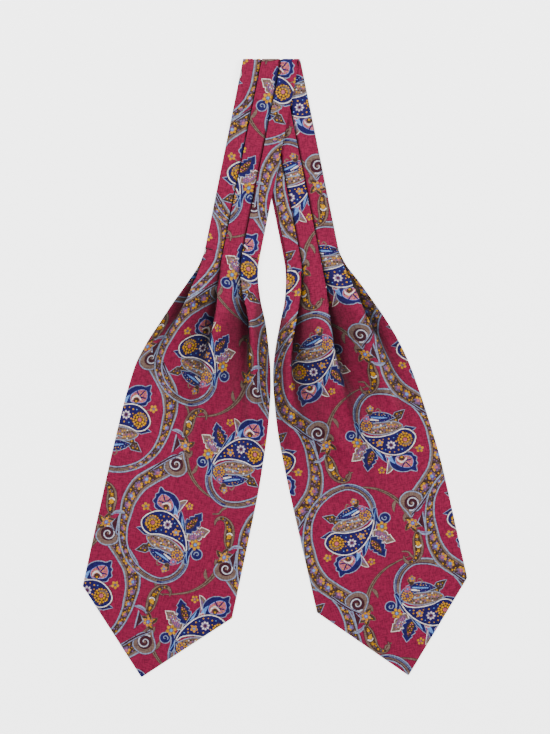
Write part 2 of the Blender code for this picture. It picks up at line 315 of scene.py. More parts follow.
@dataclass
class Motif:
    """One paisley spray in its scroll ring, drawn about its own centre with its flower upwards.

    Attributes:
        seed: Start of the random draws.
        shapes: Areas printed so far, the lowest first.
        loosened: How far a dot may leave its grid, as a share of the grid's spacing.
        dot_sizes: Smallest and greatest size of a dot, as shares of its radius.
        tiny: Radius below which a seed has one corner fewer.
    """

    seed: int = 11
    shapes: list[Shape] = field(default_factory=list)
    loosened: float = 0.25
    dot_sizes: tuple[float, float] = (0.75, 1.2)
    tiny: float = 1.2

    def fill(self, outline: np.ndarray, ink: Ink) -> None:
        """Print one area on top of what is there."""
        if len(outline) > DOT_LIMIT:
            half = len(outline) // 2
            before, after = simplified(outline[: half + 1]), simplified(outline[half:])
            outline = np.vstack([before[:-1], after])
        self.shapes.append(Shape(outline, ink))

    def rimmed(self, outline: np.ndarray, ink: Ink, rim: Ink, width: float = 0.8) -> None:
        """Print an area with a rim of another ink round it."""
        self.fill(grown(outline, width), rim)
        self.fill(outline, ink)

    def flecks(self, outline: np.ndarray, inks: Sequence[Ink], spacing: float, radius: float) -> None:
        """Scatter small dots over an area, on a loose grid."""
        draw = np.random.default_rng(self.seed + len(self.shapes))
        low, high = outline.min(axis=0), outline.max(axis=0)
        grid = np.array([
            (x, y)
            for i, x in enumerate(np.arange(low[0], high[0], spacing))
            for y in np.arange(low[1] + (i % 2) * spacing / 2, high[1], spacing)
        ])
        grid = grid + draw.uniform(-self.loosened, self.loosened, grid.shape) * spacing
        shrunk = grown(outline, -radius - 0.3)
        for index, place in enumerate(grid[inside(shrunk, grid)]):
            size = radius * draw.uniform(*self.dot_sizes)
            self.fill(disc(place, size, 5), inks[index % len(inks)])

    def blossom(self, centre: Sequence[float], radius: float, petals: int, ink: Ink, eye: Ink,
                rim: Ink) -> None:
        """Print a small flower of seed-like petals round its eye."""
        self.fill(scalloped(centre, radius * 1.12, petals), rim)
        rings = ((0.82, petals * 2), (0.48, petals)) if radius > 6 else ((0.68, petals),)
        for reach, count in rings:
            size = 0.88 * radius * reach * math.sin(math.pi / count)
            for k in range(count):
                angle = 2 * math.pi * (k + 0.5) / count
                x = centre[0] + reach * radius * math.cos(angle)
                y = centre[1] + reach * radius * math.sin(angle)
                self.fill(disc((x, y), size, 5 if size < self.tiny else 6), ink)
        self.fill(disc(centre, radius * 0.27, 7), eye)

    def scroll_ring(self) -> None:
        """Print the ring that springs from the stem, widens round the spray and ends in a volute."""
        spur = [(-1.5, -53, 2.6), (2, -57, 1.9), (4, -61.5, 1.5), (10, -63.5, 1.0)]
        self.fill(ribbon(wider(spur, 0.8)), Ink.MAROON)
        self.fill(ribbon(spur), Ink.TAUPE)
        route = [
            (22.3, -11, 2.4), (24.2, -20, 4.8), (23.6, -30, 7.0), (19, -40, 7.2), (10.5, -47.2, 6.8),
            (0, -50, 6.4), (-15, -46.5, 6.8), (-30, -36.5, 7.4), (-40, -22, 8.4), (-44.2, -6, 10.0),
            (-44.8, 8, 12.4), (-43.8, 24, 15.2), (-38, 39, 17.0), (-29.5, 48.5, 17.0), (-17, 59, 16.6),
            (-9, 66, 17.2),
        ]
        self.fill(ribbon(wider(route, 0.7), 5), Ink.MAROON)
        self.fill(ribbon(route, 5), Ink.PERIWINKLE)
        self.fill(ribbon(wider(route, -2.9), 5), Ink.TAUPE)
        path = smooth_path(route, 5)
        side = normals_of(path[:, :2], False)
        split = int(len(path) * 0.46)
        stripes = ((0.22, 0.05, Ink.BROWN), (-0.02, 0.05, Ink.BROWN), (-0.25, 0.12, Ink.MAROON))
        for shift, share, ink in stripes:
            stripe = alongside(path, side, shift, path[:, 2] * share + 0.1)
            self.fill(ribbon(stripe[12:split + 8], 1), ink)
        navy_edge = alongside(path, side, 0.20, path[:, 2] * 0.26)
        self.fill(ribbon(navy_edge[:26], 1), Ink.NAVY)
        self.fill(ribbon(navy_edge[2:24] * (1, 1, 0.22), 1), Ink.PERIWINKLE)
        self.chain(path, side, split)

    def chain(self, path: np.ndarray, side: np.ndarray, start: int) -> None:
        """Print the row of flowers and leaves along the wide part of the ring."""
        grow = ease((np.arange(len(path)) - start + 4) / 14)
        dark = alongside(path, side, 0.02, path[:, 2] * 0.62 * grow)[start - 3:]
        self.fill(ribbon(dark, 1), Ink.BROWN)
        inks = (Ink.TAUPE, Ink.MAROON, Ink.OCHRE, Ink.TAUPE, Ink.MAUVE)
        self.flecks(ribbon(dark, 1), inks, 2.3, 0.78)
        edge = alongside(path, side, 0.34, path[:, 2] * 0.13 * grow)[start - 3:]
        self.fill(ribbon(edge, 1), Ink.MAROON)
        along = np.concatenate([[0], np.cumsum(np.hypot(*np.diff(path[:, :2], axis=0).T))])
        begin, end = along[start - 4], along[-1] - 2.0
        count = int((end - begin) / 10.5)
        for k in range(count):
            place = begin + (k + 0.5) * (end - begin) / count
            i = int(np.searchsorted(along, place))
            centre, ahead = path[i, :2], np.array([side[i][1], -side[i][0]])
            radius = 0.19 * path[i, 2] + 0.5
            self.rimmed(scalloped(centre, radius * 1.2, 6), Ink.MAUVE, Ink.BROWN, 0.5)
            for turn in (-130, -75, -20):
                angle = math.radians(turn) + math.atan2(ahead[1], ahead[0])
                petal = centre + radius * 0.85 * np.array([math.cos(angle), math.sin(angle)])
                self.fill(disc(petal, radius * 0.38, 6), Ink.OCHRE)
            self.fill(disc(centre, radius * 0.42, 7), Ink.SKY if k % 2 else Ink.PINK)
            for turn in (-1, 1):
                dot = centre + turn * side[i] * path[i, 2] * 0.22 + ahead * 5.2
                self.rimmed(disc(dot, 1.0, 6), Ink.OCHRE if turn > 0 else Ink.MAUVE, Ink.MAROON, 0.3)

    def volute(self) -> None:
        """Print the rolled end of the ring."""
        centre = np.array([-5.6, 67.2])
        drop = smooth_loop([
            (-16, 62), (-10, 57), (-3, 56), (3, 59), (5.2, 64), (3.2, 70), (0.6, 74.5), (-1.6, 80),
            (-5.5, 76), (-10.5, 74.8), (-15, 70),
        ])
        self.fill(grown(drop, 1.5), Ink.MAROON)
        self.fill(grown(drop, 1.15), Ink.PERIWINKLE)
        self.fill(drop, Ink.TAUPE)
        self.fill(disc(centre, 7.4, 20), Ink.MAROON)
        self.fill(spiral(centre, 55, 7.8, 1.0, 1.45, 1.9), Ink.PERIWINKLE)
        self.fill(spiral(centre, 55, 7.8, 1.1, 1.43, 0.8), Ink.IVORY)
        self.fill(disc(centre, 1.3, 8), Ink.TAUPE)
        upper = [(-31, 55, 1.0), (-21, 64.5, 2.8), (-12, 72, 3.0), (-5, 76.5, 2.2), (-1.6, 79.5, 0.8)]
        self.fill(ribbon(upper), Ink.MAROON)
        self.fill(ribbon([(x + 1, y, w * 0.3) for x, y, w in upper]), Ink.PERIWINKLE)

    def horn(self) -> None:
        """Print the horn-shaped leaf and the flower where the scrolls meet."""
        outer = [(-58.3, 8, 4.0), (-60.8, 16, 9.0), (-61.6, 24, 10.6), (-63.3, 31.6, 8.6), (-67.8, 37, 5.4),
                 (-73.8, 38.2, 3.4), (-77.6, 34.6, 2.4), (-77.8, 30, 0.8)]
        self.rimmed(ribbon(outer), Ink.TAUPE, Ink.MAROON, 0.5)
        inner = ribbon([(x - 0.3, y, w * 0.62) for x, y, w in outer[:-2]])
        self.fill(inner, Ink.BROWN)
        self.flecks(inner, (Ink.OCHRE, Ink.MAUVE, Ink.TAUPE, Ink.OCHRE), 1.9, 0.75)
        self.fill(disc((-61.3, 21.5), 2.3, 9), Ink.OCHRE)
        self.fill(spiral((-61.4, 22.2), 20, 3.0, 2.6, 0.42, 1.5), Ink.IVORY)
        for x, y, size in ((-61, 14.5, 1.6), (-62.5, 28.8, 1.5), (-66.5, 34.8, 1.2)):
            self.rimmed(scalloped((x, y), size, 5), Ink.OCHRE, Ink.MAROON, 0.3)
        for tip in ((-70.5, 6.0), (-69, -6.5), (-60, 10), (-53.5, 4)):
            self.rimmed(leaf((-62, 0), tip, 5.2, 0.8), Ink.BROWN, Ink.TAUPE, 0.5)
            self.fill(leaf((-62, 0), (0.75 * tip[0] - 15.5, 0.75 * tip[1]), 2.2), Ink.OCHRE)
        self.blossom((-62, 0.3), 4.9, 6, Ink.OCHRE, Ink.SKY, Ink.MAUVE)
        corner = [(-51.5, 9.5), (-56.2, 0.5), (-50.8, -8.5)]
        curl = [(-45.5, 13, 1.0), (-50, 13.5, 3.4), (-55, 12, 3.0), (-58.5, 8.5, 1.0)]
        self.fill(ribbon(curl), Ink.PERIWINKLE)
        self.fill(ribbon([(-49, 13, 0.4), (-54, 12, 0.9), (-57, 9.5, 0.4)]), Ink.MAUVE)
        self.fill(grown(np.array(corner), 1.6), Ink.PERIWINKLE)
        self.fill(np.array(corner), Ink.MAROON)

    def tendril(self) -> None:
        """Print the thin stem that links the rings, with acanthus barbs."""
        stem = [
            (-62.3, -2, 3.0), (-65.5, -12, 4.6), (-70.3, -22.8, 3.8), (-79, -33.5, 2.8),
            (-90.5, -41.5, 1.9), (-105, -46.5, 1.2), (-119, -49.0, 0.5),
        ]
        barbs = (((-65.2, -11), (-69.6, -2.5), 1.5), ((-73.5, -25.5), (-77.4, -14.5), 1.5),
                 ((-63.5, -5), (-57.5, -11.5), -1.4))
        self.fill(ribbon(wider(stem, 0.8)), Ink.MAROON)
        for base, tip, bend in barbs:
            self.fill(grown(leaf(base, tip, 3.4, bend), 0.35), Ink.MAROON)
        self.fill(ribbon(stem), Ink.TAUPE)
        for base, tip, bend in barbs:
            self.fill(leaf(base, tip, 3.4, bend), Ink.TAUPE)
        self.fill(ribbon(wider(stem[:-2], times=0.22)), Ink.BROWN)

    def stem_and_curl(self) -> None:
        """Print the navy stem with its curl, which the ring grows from."""
        centre = (33.6, -16.6)
        neck = [(24.6, -28, 2.4), (24.6, -20, 2.8), (26.6, -13.5, 2.6), (30, -10.8, 2.4), (34, -11.2, 2.0)]
        stem = ribbon([(15, 6, 1.6), (20, -3, 2.8), (22.6, -12, 3.4), (23.2, -20, 3.4), (24.3, -28, 2.4)])
        self.fill(ribbon(wider(neck, 1.9)), Ink.PERIWINKLE)
        self.fill(disc(centre, 5.9, 20), Ink.PERIWINKLE)
        self.rimmed(stem, Ink.NAVY, Ink.PERIWINKLE, 0.8)
        self.fill(ribbon(neck), Ink.NAVY)
        self.fill(disc(centre, 5.0, 18), Ink.NAVY)
        self.fill(spiral(centre, 200, 3.0, 0.6, -0.95, 1.2), Ink.PERIWINKLE)
        self.fill(ribbon([(21, -5, 0.5), (23, -13, 0.9), (24, -22, 0.8), (25.4, -27, 0.4)]), Ink.SKY)

    def crown_leaves(self) -> None:
        """Print the leaves and buds that fan out behind the spray."""
        self.rimmed(leaf((21, -4), (41, 9), 11.5, 1.5, 4), Ink.TAUPE, Ink.IVORY, 0.9)
        self.fill(leaf((23, -3), (37, 6.5), 7.0, 1.2), Ink.MAUVE)
        inks = (Ink.PINK, Ink.IVORY, Ink.OCHRE, Ink.PINK)
        self.flecks(leaf((22, -3), (39, 8), 10.5, 1.5), inks, 2.0, 0.75)
        self.blossom((30, -7.5), 5.6, 6, Ink.OCHRE, Ink.SKY, Ink.TAUPE)
        self.rimmed(leaf((15, 3), (30, 25), 13, -1.5, 5), Ink.NAVY, Ink.PERIWINKLE, 0.8)
        self.fill(leaf((17, 6), (27, 21), 7.0, -1.0), Ink.BROWN)
        self.flecks(leaf((17, 6), (27, 21), 7.4, -1.0), (Ink.OCHRE, Ink.PINK), 2.3, 0.75)
        self.rimmed(leaf((17, -1), (9, 23), 6.4, 1.0), Ink.NAVY, Ink.PERIWINKLE, 0.6)
        self.fill(leaf((16, 3), (11, 19), 2.2, 0.6), Ink.SKY)
        self.rimmed(leaf((4, 19), (13, 34), 6.0, 2.2), Ink.TAUPE, Ink.IVORY, 0.7)
        self.fill(leaf((6, 21), (11.5, 31), 2.4, 1.2), Ink.MAUVE)
        self.blossom((16.5, 29), 3.9, 5, Ink.OCHRE, Ink.PINK, Ink.NAVY)
        self.fill(ribbon([(-14, 12, 0.9), (-20, 16, 1.1), (-25, 20, 0.9)]), Ink.TAUPE)
        self.blossom((-26.5, 20), 4.0, 5, Ink.OCHRE, Ink.MAUVE, Ink.TAUPE)

    def bell_flower(self) -> None:
        """Print the open flower at the top of the spray."""
        crown = smooth_loop([
            (-1, 18), (-8, 20), (-13.5, 19.6), (-17.5, 21.5), (-18, 24.6), (-20.4, 27.2), (-18.6, 30.8),
            (-19, 34), (-16.6, 36), (-15.8, 41.5), (-11, 38.4), (-6.5, 38.4), (0, 36), (4.8, 31), (6.4, 25),
            (4.5, 19.5),
        ], 4)
        self.rimmed(crown, Ink.NAVY, Ink.PERIWINKLE, 0.9)
        throat = smooth_loop([
            (-2, 20.5), (-11, 22), (-15.5, 25), (-16, 29.5), (-14.6, 33), (-12.5, 35.2), (-7.5, 34.6),
            (-2.5, 31), (0.5, 26),
        ], 4)
        self.rimmed(throat, Ink.PINK, Ink.SKY, 0.5)
        self.flecks(throat, (Ink.MAUVE, Ink.OCHRE, Ink.BROWN, Ink.PINK, Ink.OCHRE), 1.8, 0.7)
        arch = [(-11, 24.5, 0.6), (-8.5, 27, 1.7), (-5, 27.6, 2.0), (-2.4, 25, 1.7), (-1.8, 21.5, 0.6)]
        self.fill(ribbon(arch), Ink.IVORY)
        for tip in ((-12.8, 37.4), (-1.2, 35.6), (-17, 27.5)):
            self.fill(leaf((-8, 27.5), tip, 1.6), Ink.NAVY)
        self.fill(disc((-6.4, 23.2), 2.9, 9), Ink.BROWN)
        self.fill(disc((-6.6, 22.2), 1.2, 7), Ink.OCHRE)
        self.fill(leaf((5, 13), (1.5, 27), 4.0, -1.0), Ink.SKY)
        self.rimmed(scalloped((4.5, 14.5), 3.8, 6), Ink.PINK, Ink.IVORY, 0.4)
        self.flecks(disc((4.5, 14.5), 3.9, 10), (Ink.MAUVE, Ink.IVORY), 1.8, 0.55)

    def body(self) -> None:
        """Print the navy paisley body with the flowers inside it."""
        outline = smooth_loop([
            (-27, 5), (-23, 12), (-14, 17.5), (-4, 18), (6, 13.5), (14, 5), (19.5, -5), (22, -15),
            (18.5, -10.5), (11, -6.5), (2, -4.5), (-8, -4), (-17, -5.5), (-24, -2),
        ])
        self.fill(grown(outline, 1.75), Ink.MAROON)
        self.rimmed(outline, Ink.NAVY, Ink.IVORY, 1.15)
        self.blossom((-16.3, 5.6), 8.0, 8, Ink.OCHRE, Ink.PINK, Ink.BROWN)
        crest = [(-22.5, 5, 0.7), (-20.5, 9.5, 2.2), (-16.5, 10.8, 2.4), (-13, 8.6, 0.8)]
        self.fill(ribbon(crest), Ink.TAUPE)
        self.blossom((-1.2, 6.6), 4.8, 8, Ink.IVORY, Ink.MAROON, Ink.MAUVE)
        self.blossom((8.6, 0.6), 3.7, 5, Ink.OCHRE, Ink.SKY, Ink.MAUVE)
        dots = [
            (-10, 14.5), (-6.5, 13.8), (-2, 14.6), (2.5, 13), (5.6, 9.4), (8.6, 7.2), (12.2, 2.8),
            (14.4, -1.6), (16.8, -6), (13.2, -4.6), (4, -1.8), (-1.4, -0.6), (-6.4, 0), (-7.4, 4.4),
            (-7.6, 9.6), (-22.5, 3), (-11.2, -2.2), (-17, -2.6),
        ]
        for k, dot in enumerate(dots):
            self.fill(disc(dot, 0.95 if k % 2 else 0.7, 6), Ink.OCHRE if k % 4 else Ink.SKY)

    def belly(self) -> None:
        """Print the folded leaves under the body."""
        self.rimmed(leaf((-6, -8), (-31, -2.5), 8.0, -1.2, 3), Ink.NAVY, Ink.PERIWINKLE, 0.8)
        self.fill(leaf((-12, -7), (-27, -3.4), 3.4, -0.8), Ink.BROWN)
        self.fill(leaf((-14, -6.6), (-23, -4.2), 1.3, -0.5), Ink.IVORY)
        side_leaf = leaf((-6, -13), (-27.5, -24.5), 9.0, 1.2, 3)
        self.rimmed(side_leaf, Ink.BROWN, Ink.PERIWINKLE, 0.7)
        self.flecks(side_leaf, (Ink.OCHRE, Ink.MAUVE, Ink.TAUPE), 2.4, 0.85)
        lower = leaf((23, -17), (-15, -20), 15, 6.5)
        self.rimmed(lower, Ink.NAVY, Ink.PERIWINKLE, 0.9)
        self.flecks(lower, (Ink.OCHRE, Ink.PERIWINKLE, Ink.MAUVE), 2.8, 0.6)
        self.fill(ribbon([(-8, -22.5, 0.6), (-1, -25, 2.0), (7, -28.5, 1.2)]), Ink.SKY)
        self.fill(ribbon([(1, -22.6, 0.7), (6.5, -25.4, 2.2), (12, -28, 0.8)]), Ink.IVORY)
        belly = smooth_loop([
            (-19, -9), (-10, -6.5), (0, -7), (9, -9.5), (16, -14), (20.5, -20), (15, -22.5), (6, -21),
            (-4, -18.5), (-13, -16),
        ])
        self.rimmed(belly, Ink.TAUPE, Ink.PERIWINKLE, 0.9)
        inks = (Ink.OCHRE, Ink.PINK, Ink.BROWN, Ink.OCHRE, Ink.MAUVE, Ink.BROWN, Ink.IVORY)
        self.flecks(belly, inks, 2.25, 0.94)
        vein = [(-5, -15.5, 0.7), (6, -16.2, 1.5), (14, -18.4, 1.0), (19, -21, 0.5)]
        self.fill(ribbon(vein), Ink.PERIWINKLE)
        self.blossom((14.6, -21.5), 6.2, 7, Ink.OCHRE, Ink.MAUVE, Ink.NAVY)
        self.blossom((12.2, -28.6), 3.8, 6, Ink.PINK, Ink.SKY, Ink.MAUVE)
        self.rimmed(leaf((7, -31), (3.4, -41), 6.5, 0.6, 2), Ink.BROWN, Ink.TAUPE, 0.5)
        self.blossom((4.6, -37.4), 3.4, 5, Ink.OCHRE, Ink.SKY, Ink.MAUVE)
        self.fill(ribbon([(0, -28, 0.7), (-4, -31, 1.5), (-2.5, -35, 1.2), (0.4, -33.6, 0.6)]), Ink.TAUPE)

    def taken(self) -> list[Shape]:
        """Hand over the areas drawn so far and start with none."""
        done, self.shapes = self.shapes, []
        return done

    def drawn(self) -> tuple[list[Shape], list[Shape], list[Shape], list[Shape]]:
        """Draw the motif.

        Returns:
            Its four layers from below: the tendril, the ring, the horn and the spray.
        """
        self.tendril()
        tendril = self.taken()
        self.scroll_ring()
        self.volute()
        ring = self.taken()
        self.horn()
        horn = self.taken()
        self.stem_and_curl()
        self.crown_leaves()
        self.bell_flower()
        self.belly()
        self.body()
        return tendril, ring, horn, self.taken()


@dataclass(frozen=True)
class PaisleyPrint:
    """The half-drop repeat of the motif and its mirror image over one half's cloth, in millimetres.

    Pairs hold the value of the plain motif and of its mirror image.
    """

    start: Pair
    flower_up: bool
    along: float
    skew: float
    lean: float
    mirror_offset: Pair
    ring_turned: Pair
    spray_turned: Pair
    horn_offset: tuple[Pair, Pair]
    spray_height: float
    across: float = 123.0
    columns: range = range(-2, 3)
    rows: range = range(-5, 6)
    reach_across: float = 130.0
    reach_along: float = 100.0

    def shapes(self, low: float, high: float, half_width: float) -> list[Shape]:
        """Lay the motifs over a stretch of cloth.

        Args:
            low: Smallest distance below the tack.
            high: Greatest distance below the tack.
            half_width: Half the cloth's width.

        Returns:
            Every printed area, the lowest first.
        """
        turn = 1.0 if self.flower_up else -1.0
        motifs = (self.motif(False), self.motif(True))
        laid: list[list[Shape]] = [[], [], [], []]
        for column in self.columns:
            for row in self.rows:
                for mirrored in (False, True):
                    x = self.start[0] + column * self.across
                    y = self.start[1] + row * self.along + column * self.skew
                    if mirrored:
                        x, y = x + self.mirror_offset[0] * turn, y + self.mirror_offset[1] * turn
                    else:
                        x += self.lean * max(row, 0)
                    near = low - self.reach_along < y < high + self.reach_along
                    if abs(x) > half_width + self.reach_across or not near:
                        continue
                    side = -turn if mirrored else turn
                    for source, target in zip(motifs[mirrored], laid):
                        for shape in source:
                            moved = shape.outline * (side, -turn) + (x, y)
                            if self.reaches(moved, low, high, half_width):
                                target.append(Shape(moved, shape.ink))
        return [shape for layer in laid for shape in layer]

    def motif(self, mirrored: bool) -> tuple[list[Shape], ...]:
        """The motif's layers, turned and shifted as its plain or mirrored form needs."""
        tendril, ring, horn, spray = Motif().drawn()
        offset = self.horn_offset[mirrored]
        ring_turn, spray_turn = (
            np.array([[math.cos(angle), math.sin(angle)], [-math.sin(angle), math.cos(angle)]])
            for angle in (math.radians(self.ring_turned[mirrored]), math.radians(self.spray_turned[mirrored]))
        )
        return (
            [Shape(shape.outline + offset, shape.ink) for shape in tendril],
            [Shape(shape.outline @ ring_turn, shape.ink) for shape in ring],
            [Shape(shape.outline + offset, shape.ink) for shape in horn],
            [Shape((shape.outline * (1.0, self.spray_height)) @ spray_turn, shape.ink) for shape in spray],
        )

    @staticmethod
    def reaches(outline: np.ndarray, low: float, high: float, half_width: float) -> bool:
        """Tell whether an outline touches the stretch of cloth."""
        near, far = outline.min(axis=0), outline.max(axis=0)
        return near[0] < half_width and far[0] > -half_width and near[1] < high and far[1] > low


class PleatRow(NamedTuple):
    """How far a pleat has opened at a length below its tack, in millimetres and degrees."""

    below_tack: float
    fold_angle: float
    doubled_back: float
    bend_length: float


class OutlineRow(NamedTuple):
    """A blade's half widths on each side of its centre line, in millimetres."""

    below_tack: float
    inner_half: float
    outer_half: float


class Ridge(NamedTuple):
    """A soft ridge in the cloth, in millimetres: where it starts and ends, its breadth and height."""

    start_across: float
    start_down: float
    end_across: float
    end_down: float
    breadth: float
    height: float


def lookup(rows: Sequence[NamedTuple], column: str, place: float) -> float:
    """Read a column of a table at a length below the tack.

    Args:
        rows: Rows in order of their below_tack.
        column: Name of the wanted column.
        place: Length below the tack.

    Returns:
        The value on a smooth curve that never overshoots its rows.
    """
    places = [row.below_tack for row in rows]
    values = [getattr(row, column) for row in rows]
    if place <= places[0]:
        return values[0]
    if place >= places[-1]:
        return values[-1]
    slopes = [(values[i + 1] - values[i]) / (places[i + 1] - places[i]) for i in range(len(rows) - 1)]
    index = next(i for i in range(len(slopes)) if place < places[i + 1])

    def tangent(i: int) -> float:
        """Slope of the curve at a row."""
        if i in (0, len(slopes)) or slopes[i - 1] * slopes[i] <= 0:
            return 0.0
        return 2 * slopes[i - 1] * slopes[i] / (slopes[i - 1] + slopes[i])

    span = places[index + 1] - places[index]
    share = (place - places[index]) / span
    return (
        values[index] * (1 + 2 * share) * (1 - share) ** 2
        + values[index + 1] * share**2 * (3 - 2 * share)
        + span * tangent(index) * share * (1 - share) ** 2
        - span * tangent(index + 1) * share**2 * (1 - share)
    )


def linked(name: str, data: bpy.types.ID) -> bpy.types.Object:
    """Make an object of some data and link it to the scene."""
    made = bpy.data.objects.new(name, data)
    bpy.context.scene.collection.objects.link(made)
    return made


def ease(share: np.ndarray | float) -> np.ndarray | float:
    """Rise from 0 to 1 with a level start and end."""
    share = np.clip(share, 0.0, 1.0)
    return share * share * (3 - 2 * share)


@dataclass
class HalfForm:
    """How one half of the cloth strip lies, in millimetres: its pleats, its blade and its place."""

    side: Side
    tilt: float
    folds_at_tack: tuple[float, float, float]
    opening_rate: tuple[float, float, float]
    inner_inset: float
    outer_inset: float
    shoulder: float
    point: float
    outline: tuple[OutlineRow, ...]
    ridges: tuple[Ridge, ...]
    pleats: tuple[PleatRow, ...]
    folds_when_open: tuple[float, float, float] = (16.5, 71.1, 122.5)
    cloth_width: float = 152.4
    band_width: float = 55.0
    band_length: float = 197.0
    band_tilt: float = math.radians(11.4)
    fold_line: float = 305.8
    fold_centre: float = -2.9
    turn_drift: float = 2.0
    thickness: float = 0.55
    pitch: float = 0.75
    lining_top: float = 0.62
    inset_length: float = 25.0
    turn_length: float = 60.0
    drape_margin: float = 4.0
    drape_reach: float = 16.0
    floor_gap: float = 0.1
    rise_length: float = 25.0
    loose_from: float = 20.0
    loose_length: float = 60.0
    edge_length: float = 22.0
    ridge_bow: float = 0.06
    shift: Pair = (0.0, 0.0)

    def __post_init__(self) -> None:
        """Work out the sections once, on a grid of lengths below the tack and places across the cloth."""
        self.columns = np.linspace(0.0, self.cloth_width, 611)
        self.stations = np.arange(0.0, self.point + 3.0, 1.5)
        rows = [self.section(float(place)) for place in self.stations]
        self.across_table = np.array([row[0] for row in rows])
        self.height_table = np.array([row[1] for row in rows])
        # Share of open sky at each place, painted into the print's colour as shade in the folds
        self.shade_table = np.array([self.fold_shade(row[0], row[1]) for row in rows])
        widths = [self.half_widths(float(place)) for place in self.stations]
        self.inner_table = np.array([pair[0] for pair in widths])

    @staticmethod
    def fold_shade(across: np.ndarray, height: np.ndarray, reach: float = 26.0) -> np.ndarray:
        """Share of open sky above each place of a section, from 1 in the open to 0 deep in a fold.

        Args:
            across: Distance of each place from the inner edge.
            height: Height of each place.
            reach: How far a neighbour can shade a place.

        Returns:
            The share for each place.
        """
        apart = across[None, :] - across[:, None]
        above = np.maximum(0.0, height[None, :] - height[:, None])
        near = np.clip(1 - np.abs(apart) / reach, 0, 1)
        rise = np.arctan2(above, np.abs(apart) + 0.35) * near ** 0.5
        left = np.where(apart < 0, rise, 0.0).max(axis=1)
        right = np.where(apart > 0, rise, 0.0).max(axis=1)
        return 1 - (np.sin(left) + np.sin(right)) / 2

    @property
    def tip_across(self) -> float:
        """Place of the blade's point across the flat cloth."""
        inner, outer = self.half_widths(self.shoulder)
        return self.cloth_width * inner / (inner + outer)

    @property
    def turn_run(self) -> float:
        """Length of the cloth that goes round the fold of the neckband."""
        return math.pi * 1.5 * self.pitch

    def half_widths(self, place: float) -> tuple[float, float]:
        """Inner and outer half width of the cloth as it lies, at a length below the tack."""
        return lookup(self.outline, "inner_half", place), lookup(self.outline, "outer_half", place)

    def pleat_state(self, place: float) -> tuple[float, float, float, float]:
        """Fold angle, doubled back length, bend length and height of a pleat below the tack."""
        angle = math.radians(lookup(self.pleats, "fold_angle", place))
        back = lookup(self.pleats, "doubled_back", place)
        bend = lookup(self.pleats, "bend_length", place)
        return angle, back, bend, back * math.sin(angle) + 2 * bend / angle * (1 - math.cos(angle))

    def section(self, place: float) -> tuple[np.ndarray, np.ndarray]:
        """Work out how the cloth runs across the half at a length below the tack.

        Args:
            place: Length below the tack.

        Returns:
            For each column across the cloth, its distance from the inner edge and its height.
        """
        inner, outer = self.half_widths(place)
        width = inner + outer
        opened = (width - self.band_width) / (self.cloth_width - self.band_width)
        inset = 1 - ease(place / self.inset_length)
        start, end = self.inner_inset * inset, width - self.outer_inset * inset
        folds = []
        for tacked, flat, rate in zip(self.folds_at_tack, self.folds_when_open, self.opening_rate):
            folds.append((tacked + (flat - tacked) * opened, *self.pleat_state(place * rate)))
        crest, angle, back, bend, height = folds[0]
        valley = crest + self.fold_run(angle, back, bend)
        edge_height = height * (1 - ease(place / self.turn_length))
        points = [(start, edge_height)]
        points += self.climb(points[-1], (max(start + 1, min(valley, crest - 1)), height))
        for index, (crest, angle, back, bend, height) in enumerate(folds):
            points += self.flat_run(points[-1], (crest, height), 6)
            points += self.pleat_fold(crest, height, angle, back, bend)
            if index + 1 < len(folds):
                low_end = max(crest, points[-1][0] + 1)
                points += self.flat_run(points[-1], (low_end, 0.0), 6)
                crest, angle, back, bend, height = folds[index + 1]
                valley = crest + self.fold_run(angle, back, bend)
                points += self.climb((low_end, 0.0), (min(valley, crest - 1), height))
        points += self.flat_run(points[-1], (end, 0.0), 6)
        run = np.array(points)
        length = np.concatenate([[0], np.cumsum(np.hypot(*np.diff(run, axis=0).T))])
        along = length / length[-1] * self.cloth_width
        return np.interp(self.columns, along, run[:, 0]), np.interp(self.columns, along, run[:, 1])

    @staticmethod
    def fold_run(angle: float, back: float, bend: float) -> float:
        """How far across a pleat's fold runs, from its crest to the start of its floor."""
        return 2 * bend / angle * math.sin(angle) + back * math.cos(angle)

    @staticmethod
    def flat_run(start: Pair, end: Pair, steps: int) -> list[Pair]:
        """Points on the straight line from start to end, without start."""
        return [
            (start[0] + (end[0] - start[0]) * i / steps, start[1] + (end[1] - start[1]) * i / steps)
            for i in range(1, steps + 1)
        ]

    @staticmethod
    def climb(start: Pair, end: Pair, steps: int = 10) -> list[Pair]:
        """Points on two equal bends from start up or down to end, without start."""
        points = []
        for i in range(1, steps + 1):
            share = i / steps
            across = start[0] + (end[0] - start[0]) * share
            points.append((across, start[1] + (end[1] - start[1]) * float(ease(share))))
        return points

    @staticmethod
    def pleat_fold(crest: float, height: float, angle: float, back: float, bend: float,
                   steps: int = 10) -> list[Pair]:
        """Points from a crest over its fold, back under it and out along the bottom, without the crest."""
        radius = bend / angle
        valley = crest + 2 * radius * math.sin(angle) + back * math.cos(angle)
        points = []
        for i in range(1, steps + 1):
            turned = angle * i / steps
            points.append((crest + radius * math.sin(turned), height - radius + radius * math.cos(turned)))
        for i in range(steps, -1, -1):
            turned = angle * i / steps
            points.append((valley - radius * math.sin(turned), radius - radius * math.cos(turned)))
        return points

    def read(self, table: np.ndarray, u: np.ndarray, v: np.ndarray) -> np.ndarray:
        """Read a table of stations and columns at places on the cloth, between its rows and columns."""
        row = np.clip(v / (self.stations[1] - self.stations[0]), 0, len(self.stations) - 1.001)
        column = np.clip(u / (self.columns[1] - self.columns[0]), 0, len(self.columns) - 1.001)
        i, j = row.astype(int), column.astype(int)
        a, b = row - i, column - j
        return (
            table[i, j] * (1 - a) * (1 - b)
            + table[i + 1, j] * a * (1 - b)
            + table[i, j + 1] * (1 - a) * b
            + table[i + 1, j + 1] * a * b
        )

